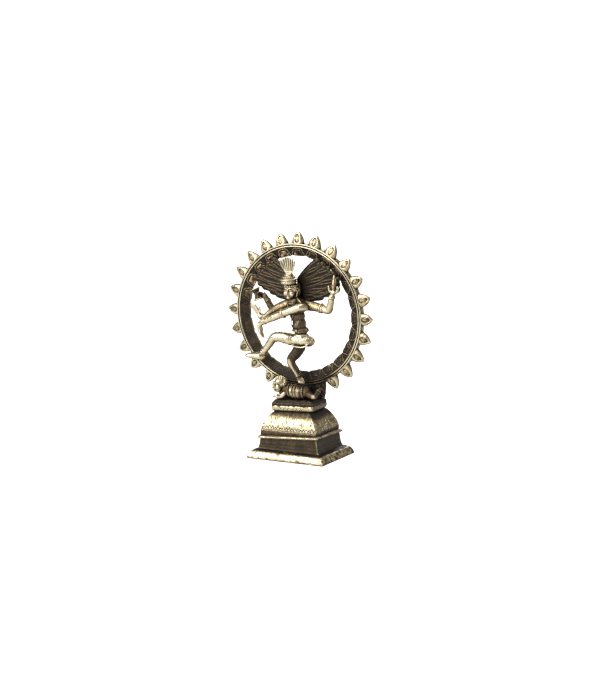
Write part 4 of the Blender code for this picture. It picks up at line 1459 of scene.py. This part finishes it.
# %% Front right arm
def build_front_right_arm():
    """The arm raised in blessing, with an open palm."""
    spot = partial(at, "front_right_arm")
    wax = new_wax()
    limb(wax, spot, (1.12, 0.66, 1.00, 2.2), (0.83, 0.58, 0.78, 1.95),
         (0.53, 0.51, 0.43, 1.55), (0.34, 0.41, 0.13, 1.2), (0.27, 0.36, 0.19, 1.15),
         (0.20, 0.31, 0.33, 1.0))
    bangles(wax, spot(0.26, 0.34, 0.23), Vector((-0.6, -0.15, 0.75)), 1.15)
    hoop(wax, spot(0.73, 0.56, 0.63), Vector((-0.85, -0.1, -0.5)), 1.68, 0.24, beads=14)
    hand(wax, spot(0.19, 0.31, 0.36), Vector((-0.60, -0.15, 1.0)), Vector((-0.3, -1.0, 0.0)),
         1.22, 0.10, 1.0)
    skin = melt(wax, 0.12, 5)
    push(skin, waxy_with(lambda place, normal: 0.36 * ease(place.x, -12.5, -9.0)))
    cast("front_right_arm_cast", skin, LIT_LIMB_BRASS, "polished_brass", "front_right_arm")


build_front_right_arm()


# %% Back left arm
def build_back_left_arm():
    """The arm that holds up the flame: elbow low, palm tipped back like a dish."""
    spot = partial(at, "back_left_arm")
    wax = new_wax()
    limb(wax, spot, (-0.08, 0.52, 0.22, 2.15), (0.19, 0.59, 0.19, 1.9),
         (0.42, 0.59, 0.15, 1.65), (0.63, 0.57, 0.10, 1.45), (0.69, 0.52, 0.19, 1.45),
         (0.74, 0.45, 0.36, 1.35), (0.81, 0.35, 0.62, 1.05), (0.86, 0.33, 0.76, 1.0))
    hoop(wax, spot(0.38, 0.62, 0.16), Vector((0.97, 0.0, -0.2)), 1.78, 0.30, beads=14)
    hoop(wax, spot(0.44, 0.62, 0.14), Vector((0.97, 0.0, -0.2)), 1.75, 0.26)
    bangles(wax, spot(0.79, 0.38, 0.56), Vector((0.25, -0.1, 0.95)), 1.15)
    palm = spot(0.87, 0.30, 0.74)
    ball(wax, palm, (1.6, 1.0, 1.0))
    for k in range(4):
        depth = Vector((0.0, -0.75 + 0.45 * k, 0.0))
        stroke(wax, [(palm + Vector((0.6, 0.0, 0.0)) + depth * 0.6, 0.50),
                     (palm + Vector((1.9, 0.0, 0.5)) + depth, 0.56),
                     (palm + Vector((2.3, 0.0, 1.5)) + depth, 0.48),
                     (palm + Vector((2.15, 0.0, 2.5 - 0.2 * k)) + depth, 0.36)], 3)
    stroke(wax, [(palm + Vector((-0.6, -0.1, 0.0)), 0.55), (palm + Vector((-1.65, -0.2, 0.6)), 0.55),
                 (palm + Vector((-1.85, -0.3, 1.6)), 0.46), (palm + Vector((-2.05, -0.3, 2.4)), 0.32)], 3)
    skin = melt(wax, 0.12, 5)
    # Painted shade on surfaces that face down, and darker towards the body.
    push(skin, waxy_with(lambda place, normal: 0.30 * (1.0 - ease(normal.z, -0.9, 0.2))
                         + 0.28 * (1.0 - ease(place.x, 9.0, 12.5))))
    cast("back_left_arm_cast", skin, LIT_LIMB_BRASS, "polished_brass", "back_left_arm")


build_back_left_arm()


# %% Back right arm
def build_back_right_arm():
    """The arm behind, raised to the drum."""
    spot = partial(at, "back_right_arm")
    wax = new_wax()
    limb(wax, spot, (1.08, 0.44, 0.27, 1.5), (0.72, 0.51, 0.18, 1.4),
         (0.42, 0.51, 0.14, 1.4), (0.29, 0.47, 0.35, 1.35), (0.17, 0.44, 0.64, 1.25),
         (0.08, 0.40, 0.84, 1.1))
    bangles(wax, spot(0.19, 0.44, 0.61), Vector((-0.5, 0.0, 0.85)), 1.15, 10)
    hand(wax, spot(0.10, 0.40, 0.82), Vector((-0.8, -0.2, 0.55)), Vector((0.0, -1.0, 0.0)),
         0.80, 0.9, 1.0)
    skin = melt(wax, 0.13, 6)
    push(skin, lambda place, normal: (waxy(place, normal)[0], 0.02))
    cast("back_right_arm_cast", skin, SHADED_TRUNK_BRASS, "aged_brass", "back_right_arm")


build_back_right_arm()


# %% Drum
def build_drum():
    """An hourglass drum with skins, a knotted waist and lacing."""
    centre = at("hand_drum", 0.50, 0.50, 0.50)
    tilt = math.radians(22.0)
    lean = Vector((-math.sin(tilt), 0.0, math.cos(tilt)))
    side = Vector((lean.z, 0.0, -lean.x))
    out = Vector((0.0, -1.0, 0.0))
    wax = new_wax()
    for end in (-1.0, 1.0):
        rod(wax, centre, 0.85, centre + lean * 2.1 * end, 1.75)
        rod(wax, centre + lean * 1.9 * end, 1.88, centre + lean * 2.4 * end, 1.85)
        hoop(wax, centre + lean * 2.15 * end, lean, 1.82, 0.20)
    for k in range(9):
        angle = math.tau * k / 9.0
        across = side * math.cos(angle) + out * math.sin(angle)
        turned = side * math.cos(angle + 0.35) + out * math.sin(angle + 0.35)
        stroke(wax, [(centre + lean * 1.9 + across * 1.75, 0.14), (centre + across * 0.85, 0.15),
                    (centre - lean * 1.9 + turned * 1.75, 0.14)], 2)
    hoop(wax, centre, lean, 0.92, 0.26)
    skin = melt(wax, 0.10, 2)

    def finish(place, normal):
        rim = ease(abs((place - centre).dot(lean)), 1.6, 1.9)
        return 0.03 * rough_cast(place, 0.9), 0.1 - 0.85 * rim * (normal.z > -0.2)

    push(skin, finish)
    cast("drum_cast", skin, SHADED_TRUNK_BRASS, "aged_brass", "hand_drum")


build_drum()


# %% Flame in the hand
def build_hand_flame():
    """Three tongues of fire from the palm."""
    wax = new_wax()
    low, top = span("hand_flame")
    middle = (low + top) * 0.5
    for lean, height, thick in ((0.0, 1.0, 0.95), (-0.6, 0.50, 0.60), (0.6, 0.55, 0.60)):
        foot_point = Vector((middle.x + lean * 0.5 - 1.3, middle.y, low.z - 3.2))
        tip = Vector((middle.x + lean * 1.3 - 1.1, middle.y, low.z - 1.0 + (top.z - low.z) * height))
        stroke(wax, [(foot_point, thick * 0.8), (foot_point.lerp(tip, 0.40), thick),
                    (foot_point.lerp(tip, 0.75) + Vector((0.12, 0.0, 0.0)), thick * 0.55), (tip, 0.14)])
    skin = melt(wax, 0.10, 2)
    push(skin, lambda place, normal: (0.03 * rough_cast(place, 0.7),
                                      0.25 * line(math.sin(place.x * 5.0) * 0.3, 0.14)))
    cast("hand_flame_cast", skin, FLAME_BRASS, "flame_brass", "hand_flame")


build_hand_flame()


# %% [markdown]
# ## The head
#
# The face is this lesson's own: a calm oval, with the eyes halfway down the head and a little
# less than one eye's width between them. The nose is short, so the mouth lies halfway from the
# eyes to the chin. Lids, lips and nostrils are laid on as wax, then the lines between them are
# engraved and keep their patina.

# %% The face
HEAD_LOW, HEAD_TOP = span("head")
HEAD = Vector(((HEAD_LOW.x + HEAD_TOP.x) * 0.5, (HEAD_LOW.y + HEAD_TOP.y) * 0.5, HEAD_LOW.z + 3.8))


def on_head(x, y, z):
    """A point given from the middle of the head: x to its left, y to its back, z up."""
    return HEAD + Vector((x, y, z))


def lay_face(wax, head, size):
    """Cheeks, brows, nose, eyes, lips and chin; head(x, y, z) gives a point of the head."""

    def feature(side, *joints, steps=3):
        stroke(wax, [(head(x * side, y, z), radius * size) for x, y, z, radius in joints], steps)

    for side in (-1.0, 1.0):
        ball(wax, head(1.25 * side, -1.95, -0.95), (1.05 * size, 0.95 * size, 1.15 * size))
        feature(side, (2.05, -1.85, 0.95, 0.22), (1.25, -2.62, 1.28, 0.26), (0.40, -2.86, 0.98, 0.25))
        ball(wax, head(1.10 * side, -2.42, 0.34), (0.66 * size, 0.48 * size, 0.42 * size))
        feature(side, (1.75, -2.40, 0.24, 0.10), (1.12, -2.86, 0.50, 0.13), (0.52, -2.78, 0.22, 0.10),
                steps=4)
        feature(side, (1.70, -2.36, 0.10, 0.09), (1.12, -2.78, -0.02, 0.10), (0.55, -2.72, 0.10, 0.09),
                steps=4)
        ball(wax, head(0.40 * side, -3.05, -0.72), (0.30 * size, 0.34 * size, 0.24 * size))
        feature(side, (0.82, -2.72, -1.52, 0.12), (0.36, -3.04, -1.40, 0.20), (0.0, -3.06, -1.47, 0.18))
        feature(side, (0.72, -2.74, -1.66, 0.12), (0.0, -3.02, -1.84, 0.25))
    feature(1.0, (0.0, -2.80, 0.75, 0.26), (0.0, -3.10, 0.10, 0.28), (0.0, -3.42, -0.45, 0.36),
            (0.0, -3.44, -0.62, 0.36))
    ball(wax, head(0.0, -2.35, -2.62), (0.85 * size, 0.75 * size, 0.62 * size))


def face_lines(head):
    """Lines to engrave: closed lids, mouth, nostrils and chin."""
    lines = [[head(-0.92, -2.8, -1.55), head(-0.35, -3.15, -1.58), head(0.0, -3.2, -1.62),
              head(0.35, -3.15, -1.58), head(0.92, -2.8, -1.55)]]
    for side in (-1.0, 1.0):
        for path in (((1.82, -2.35, 0.16), (1.42, -2.72, 0.12), (1.10, -2.88, 0.13), (0.50, -2.80, 0.12)),
                     ((0.62, -2.95, -0.45), (0.68, -2.95, -0.80)),
                     ((0.22, -3.35, -0.95), (0.42, -3.2, -0.98)),
                     ((1.85, -2.05, 0.78), (1.20, -2.70, 0.88), (0.55, -2.85, 0.66))):
            lines.append([head(x * side, y, z) for x, y, z in path])
    return lines


# %% Head and ears
def build_head():
    """Skull, neck, face, ears with rings, and a row of curls under the crown."""
    wax = new_wax()
    ball(wax, on_head(0.0, 0.35, 0.75), (2.62, 2.75, 2.75))
    ball(wax, on_head(0.0, -0.75, -0.70), (2.10, 2.05, 2.65))
    stroke(wax, [(on_head(0.05, 0.2, -1.2), 1.55), (on_head(0.25, 0.5, -3.9), 1.45)])
    lay_face(wax, on_head, 1.0)
    for side in (-1.0, 1.0):
        limb(wax, lambda x, y, z: on_head(x * side, y, z), (2.45, -0.35, 0.95, 0.30),
             (2.85, 0.35, 0.95, 0.34), (2.95, 0.60, 0.15, 0.32), (2.75, 0.20, -0.75, 0.30),
             (2.60, 0.0, -1.35, 0.34), steps=3)
        ball(wax, on_head(2.50 * side, -0.10, -0.05), (0.26, 0.40, 0.45))
        hoop(wax, on_head(2.65 * side, -0.05, -1.95), Vector((1.0, 0.0, 0.0)), 0.48, 0.20)
        ball(wax, on_head(2.68 * side, -0.05, -1.95), (0.24, 0.26, 0.26))
        for k in range(3):
            ball(wax, on_head((2.30 + 0.1 * k) * side, -0.95 + 0.35 * k, 1.35 - 0.55 * k), 0.32)
    for k in range(13):
        angle = math.radians(-100.0 + 200.0 * k / 12.0)
        front = math.cos(angle)
        ball(wax, on_head(2.50 * math.sin(angle), 0.30 - 2.72 * front, 2.05 - 0.12 * front), 0.34)
    ball(wax, on_head(0.0, -2.78, 1.62), (0.20, 0.16, 0.26))
    for k in range(7):
        x = -2.1 + 0.7 * k
        stroke(wax, [(on_head(x, 2.2, 2.0), 0.5), (on_head(x * 1.05, 2.75, 0.0), 0.48),
                    (on_head(x * 1.0, 2.4, -2.2), 0.42)], 3)
    skin = melt(wax, 0.075, 2)
    lines = face_lines(on_head)

    def finish(place, normal):
        here = place - HEAD
        cut = 0.0
        if here.y < -1.7 and here.z < 1.6:
            cut = max(line(distance_to(place, path), 0.17) for path in lines)
        back = ease(here.y, -0.9, 0.6)
        neck = 1.0 - ease(here.z, -3.0, -2.2)
        curls = ease(here.z, 1.5, 1.9) * 0.12
        dirt_and_painted_light = 0.80 * cut + 0.40 * back + 0.30 * neck + curls - 0.06
        return 0.02 * rough_cast(place, 1.2) - 0.09 * cut, dirt_and_painted_light

    push(skin, finish)
    cast("head_cast", skin, FACE_BRASS, "polished_brass", "head")


build_head()

# %% [markdown]
# ## Crown and crest
#
# The crown is a beaded band under a flat disc, with a collar above it. Seven feathers fan out
# of the collar; each is a rod with a rounded tip and a thin raised quill, and together they are
# among the brightest things on the statue.

# %% Crown
def build_crown():
    """Band, disc brim and collar round one slightly leaning axis."""
    low, top = span("crown")
    lean, lean_from = -0.04, 72.0
    axis = Vector((lean, 0.0, 1.0))
    middle = at("crown", 0.47, 0.50, 0.37)
    middle.z = 0.0

    def level(height, radius):
        return middle + Vector((lean * (height - lean_from), 0.0, height)), radius

    wax = new_wax()
    for lower, upper in ((level(low.z - 0.5, 2.75), level(low.z + 1.2, 2.85)),
                         (level(low.z + 1.1, 3.45), level(low.z + 1.75, 3.45)),
                         (level(low.z + 1.7, 2.5), level(low.z + 2.6, 1.9)),
                         (level(low.z + 2.5, 1.75), level(top.z, 1.35))):
        rod(wax, lower[0], lower[1], upper[0], upper[1])
    hoop(wax, level(low.z + 0.1, 0.0)[0], axis, 2.80, 0.28, beads=26)
    hoop(wax, level(low.z + 0.75, 0.0)[0], axis, 2.95, 0.20)
    hoop(wax, level(low.z + 1.42, 0.0)[0], axis, 3.48, 0.28)
    hoop(wax, level(low.z + 2.1, 0.0)[0], axis, 2.30, 0.20, beads=18)
    hoop(wax, level(top.z - 0.5, 0.0)[0], axis, 1.55, 0.28)
    ball(wax, level(low.z + 0.5, 0.0)[0] + Vector((0.0, -2.95, 0.0)), (0.42, 0.3, 0.5))
    skin = melt(wax, 0.10, 2)
    push(skin, lambda place, normal: (0.03 * rough_cast(place, 1.0), 0.16 * ease(place.y, -3.5, -1.5)))
    cast("crown_cast", skin, FACE_BRASS, "polished_brass", "crown")


build_crown()


# %% Crest of feathers
def build_crest():
    """Seven feathers side by side, spreading like a hand, and the beads that hold them."""
    low, top = span("crest_fan")
    foot_point = at("crest_fan", 0.52, 0.50, -0.03)
    height = top.z - foot_point.z
    wax = new_wax()
    for k in range(7):
        side = k - 3.0
        reach = height - 0.15 - 0.15 * side * side
        base = foot_point + Vector((0.42 * side, 0.0, 0.2))
        tip = foot_point + Vector((1.04 * side - 0.55, 0.0, reach))
        middle = base.lerp(tip, 0.5)
        stroke(wax, [(base, 0.30), (middle + Vector((0.10 * side, 0.0, 0.0)), 0.42), (tip, 0.46)], 3)
        stroke(wax, [(base, 0.26), (middle + Vector((0.10 * side, -0.22, 0.0)), 0.20),
                     (tip + Vector((0.0, -0.22, 0.0)), 0.20)], 3)
    for k in range(5):
        ball(wax, foot_point + Vector((0.62 * (k - 2), -0.15, 0.45)), 0.42)
    ball(wax, foot_point + Vector((0.0, 0.0, -0.15)), (1.75, 0.85, 0.45))
    skin = melt(wax, 0.09, 1)

    def finish(place, normal):
        rise = (place.z - foot_point.z) / height
        across = (place.x - foot_point.x + 0.55 * rise) / (0.42 + 0.64 * rise)
        gap = ease(abs((across + 0.5) % 1.0 - 0.5), 0.26, 0.46)
        return 0.02 * rough_cast(place, 0.9), ease(rise, 0.12, 0.22) * (0.62 * gap) - 0.10

    push(skin, finish)
    cast("crest_cast", skin, FACE_BRASS, "polished_brass", "crest_fan")


build_crest()


# %% [markdown]
# ## The dwarf under the dancer
#
# He lies on his belly across the seat, his head towards the statue's right. His curls are
# single balls of wax, his back has soft folds, and the dancer's foot presses into it.

# %% The dwarf's body
def build_dwarf_body():
    """Trunk with rolls of flesh, shoulders and a belt."""
    spot = partial(at, "dwarf_body")
    wax = new_wax()
    limb(wax, spot, (0.04, 0.40, 0.65, 1.9), (0.21, 0.44, 0.59, 2.5), (0.49, 0.48, 0.53, 2.75),
         (0.76, 0.49, 0.53, 2.75), (0.98, 0.51, 0.57, 2.1))
    for k in range(6):
        t = k / 5.0
        place = spot(0.25, 0.44, 0.59).lerp(spot(0.74, 0.49, 0.53), t)
        hoop(wax, place, Vector((1.0, 0.1 * math.sin(k * 2.0), 0.12)), 2.62 + 0.12 * math.sin(t * 3.0), 0.24)
    hoop(wax, spot(0.88, 0.51, 0.55), Vector((1.0, 0.0, 0.1)), 2.5, 0.3, beads=22)
    ball(wax, spot(0.13, 0.21, 0.48), (1.5, 1.4, 1.3))
    skin = melt(wax, 0.15, 5)

    def finish(place, normal):
        lit = ease(-normal.y, 0.3, 0.9) * ease(place.x, -2.0, -1.0) * (1.0 - ease(place.x, 2.6, 3.6))
        return 0.06 * rough_cast(place, 1.1), 0.05 - 0.30 * lit

    push(skin, finish)
    cast("dwarf_body_cast", skin, SHADED_TRUNK_BRASS, "aged_brass", "dwarf_body")


build_dwarf_body()


# %% The dwarf's head
def build_dwarf_head():
    """Round head with the same face, smaller, and a cap of curls."""
    low, top = span("dwarf_head")
    centre = (low + top) * 0.5 + Vector((0.3, -0.2, 0.1))
    look = Matrix.Rotation(math.radians(-14.0), 3, "Z") @ Matrix.Rotation(math.radians(-12.0), 3, "X")
    size = 0.90

    def on_dwarf(x, y, z):
        return centre + look @ Vector((x, y, z)) * size

    wax = new_wax()
    ball(wax, on_dwarf(0.0, 0.5, 0.7), (2.75 * size, 2.6 * size, 2.75 * size))
    ball(wax, on_dwarf(0.0, -0.70, -0.9), (2.15 * size, 2.0 * size, 2.4 * size))
    lay_face(wax, on_dwarf, size)
    for side in (-1.0, 1.0):
        stroke(wax, [(on_dwarf(2.5 * side, 0.1, 0.7), 0.26), (on_dwarf(2.9 * side, 0.5, 0.0), 0.26),
                    (on_dwarf(2.6 * side, 0.2, -1.0), 0.24)], 3)
    for row in range(6):
        tilt = math.radians(8.0 + 17.0 * row)
        count = max(1, int(15 * math.sin(tilt)) + 2)
        for k in range(count):
            turn = math.tau * (k + 0.5 * (row % 2)) / count
            spot = Vector((math.sin(tilt) * math.sin(turn), -math.sin(tilt) * math.cos(turn), math.cos(tilt)))
            if spot.y < -0.35 and spot.z < 0.62:
                continue
            ball(wax, on_dwarf(2.95 * spot.x, 0.5 + 2.8 * spot.y, 0.8 + 2.95 * spot.z), 0.44)
    skin = melt(wax, 0.085, 2)
    lines = face_lines(on_dwarf)

    def finish(place, normal):
        here = look.transposed() @ (place - centre) / size
        cut = 0.0
        if here.y < -1.6 and here.z < 1.5:
            cut = max(line(distance_to(place, path), 0.14) for path in lines)
        return 0.02 * rough_cast(place, 0.9) - 0.07 * cut, 0.7 * cut - 0.12

    push(skin, finish)
    cast("dwarf_head_cast", skin, FACE_BRASS, "polished_brass", "dwarf_head")


build_dwarf_head()


# %% The dwarf's arm and leg
def build_dwarf_limbs():
    """An arm folded in front and a leg drawn up behind."""
    wax = new_wax()
    limb(wax, partial(at, "dwarf_arm"), (1.18, 0.63, 1.07, 1.15), (0.97, 0.39, 0.69, 1.05),
         (0.49, 0.48, 0.35, 0.85), (0.22, 0.68, 0.30, 0.72))
    hoop(wax, at("dwarf_arm", 0.38, 0.58, 0.35), Vector((-1.0, 0.3, -0.1)), 0.86, 0.2)
    hand(wax, at("dwarf_arm", 0.22, 0.68, 0.30), Vector((-1.0, 0.3, 0.0)),
         Vector((0.0, -0.4, -1.0)), 0.62, 0.3)
    skin = melt(wax, 0.11, 2)
    # Painted light: surfaces that face the front are paler.
    push(skin, lambda place, normal: (waxy(place, normal)[0], 0.30 - 0.25 * ease(-normal.y, 0.6, 0.9)))
    cast("dwarf_arm_cast", skin, LIT_LIMB_BRASS, "polished_brass", "dwarf_arm")
    wax = new_wax()
    limb(wax, partial(at, "dwarf_leg"), (-0.12, 0.46, 0.47, 1.7), (0.35, 0.30, 0.30, 1.35),
         (0.58, 0.33, 0.27, 1.15), (0.73, 0.62, 0.59, 0.95), (0.88, 0.92, 0.94, 0.75))
    hoop(wax, at("dwarf_leg", 0.80, 0.76, 0.77), Vector((0.4, 0.6, 0.8)), 0.95, 0.2)
    ball(wax, at("dwarf_leg", 0.61, 0.17, 0.25), (0.8, 0.7, 0.8))
    skin = melt(wax, 0.12, 2)
    knee = at("dwarf_leg", 0.61, 0.04, 0.27)
    push(skin, lambda place, normal: (waxy(place, normal)[0],
                                      -0.5 * (1.0 - ease((place - knee).length, 0.4, 1.1))
                                      + 0.10))
    cast("dwarf_leg_cast", skin, SHADED_TRUNK_BRASS, "aged_brass", "dwarf_leg")


build_dwarf_limbs()
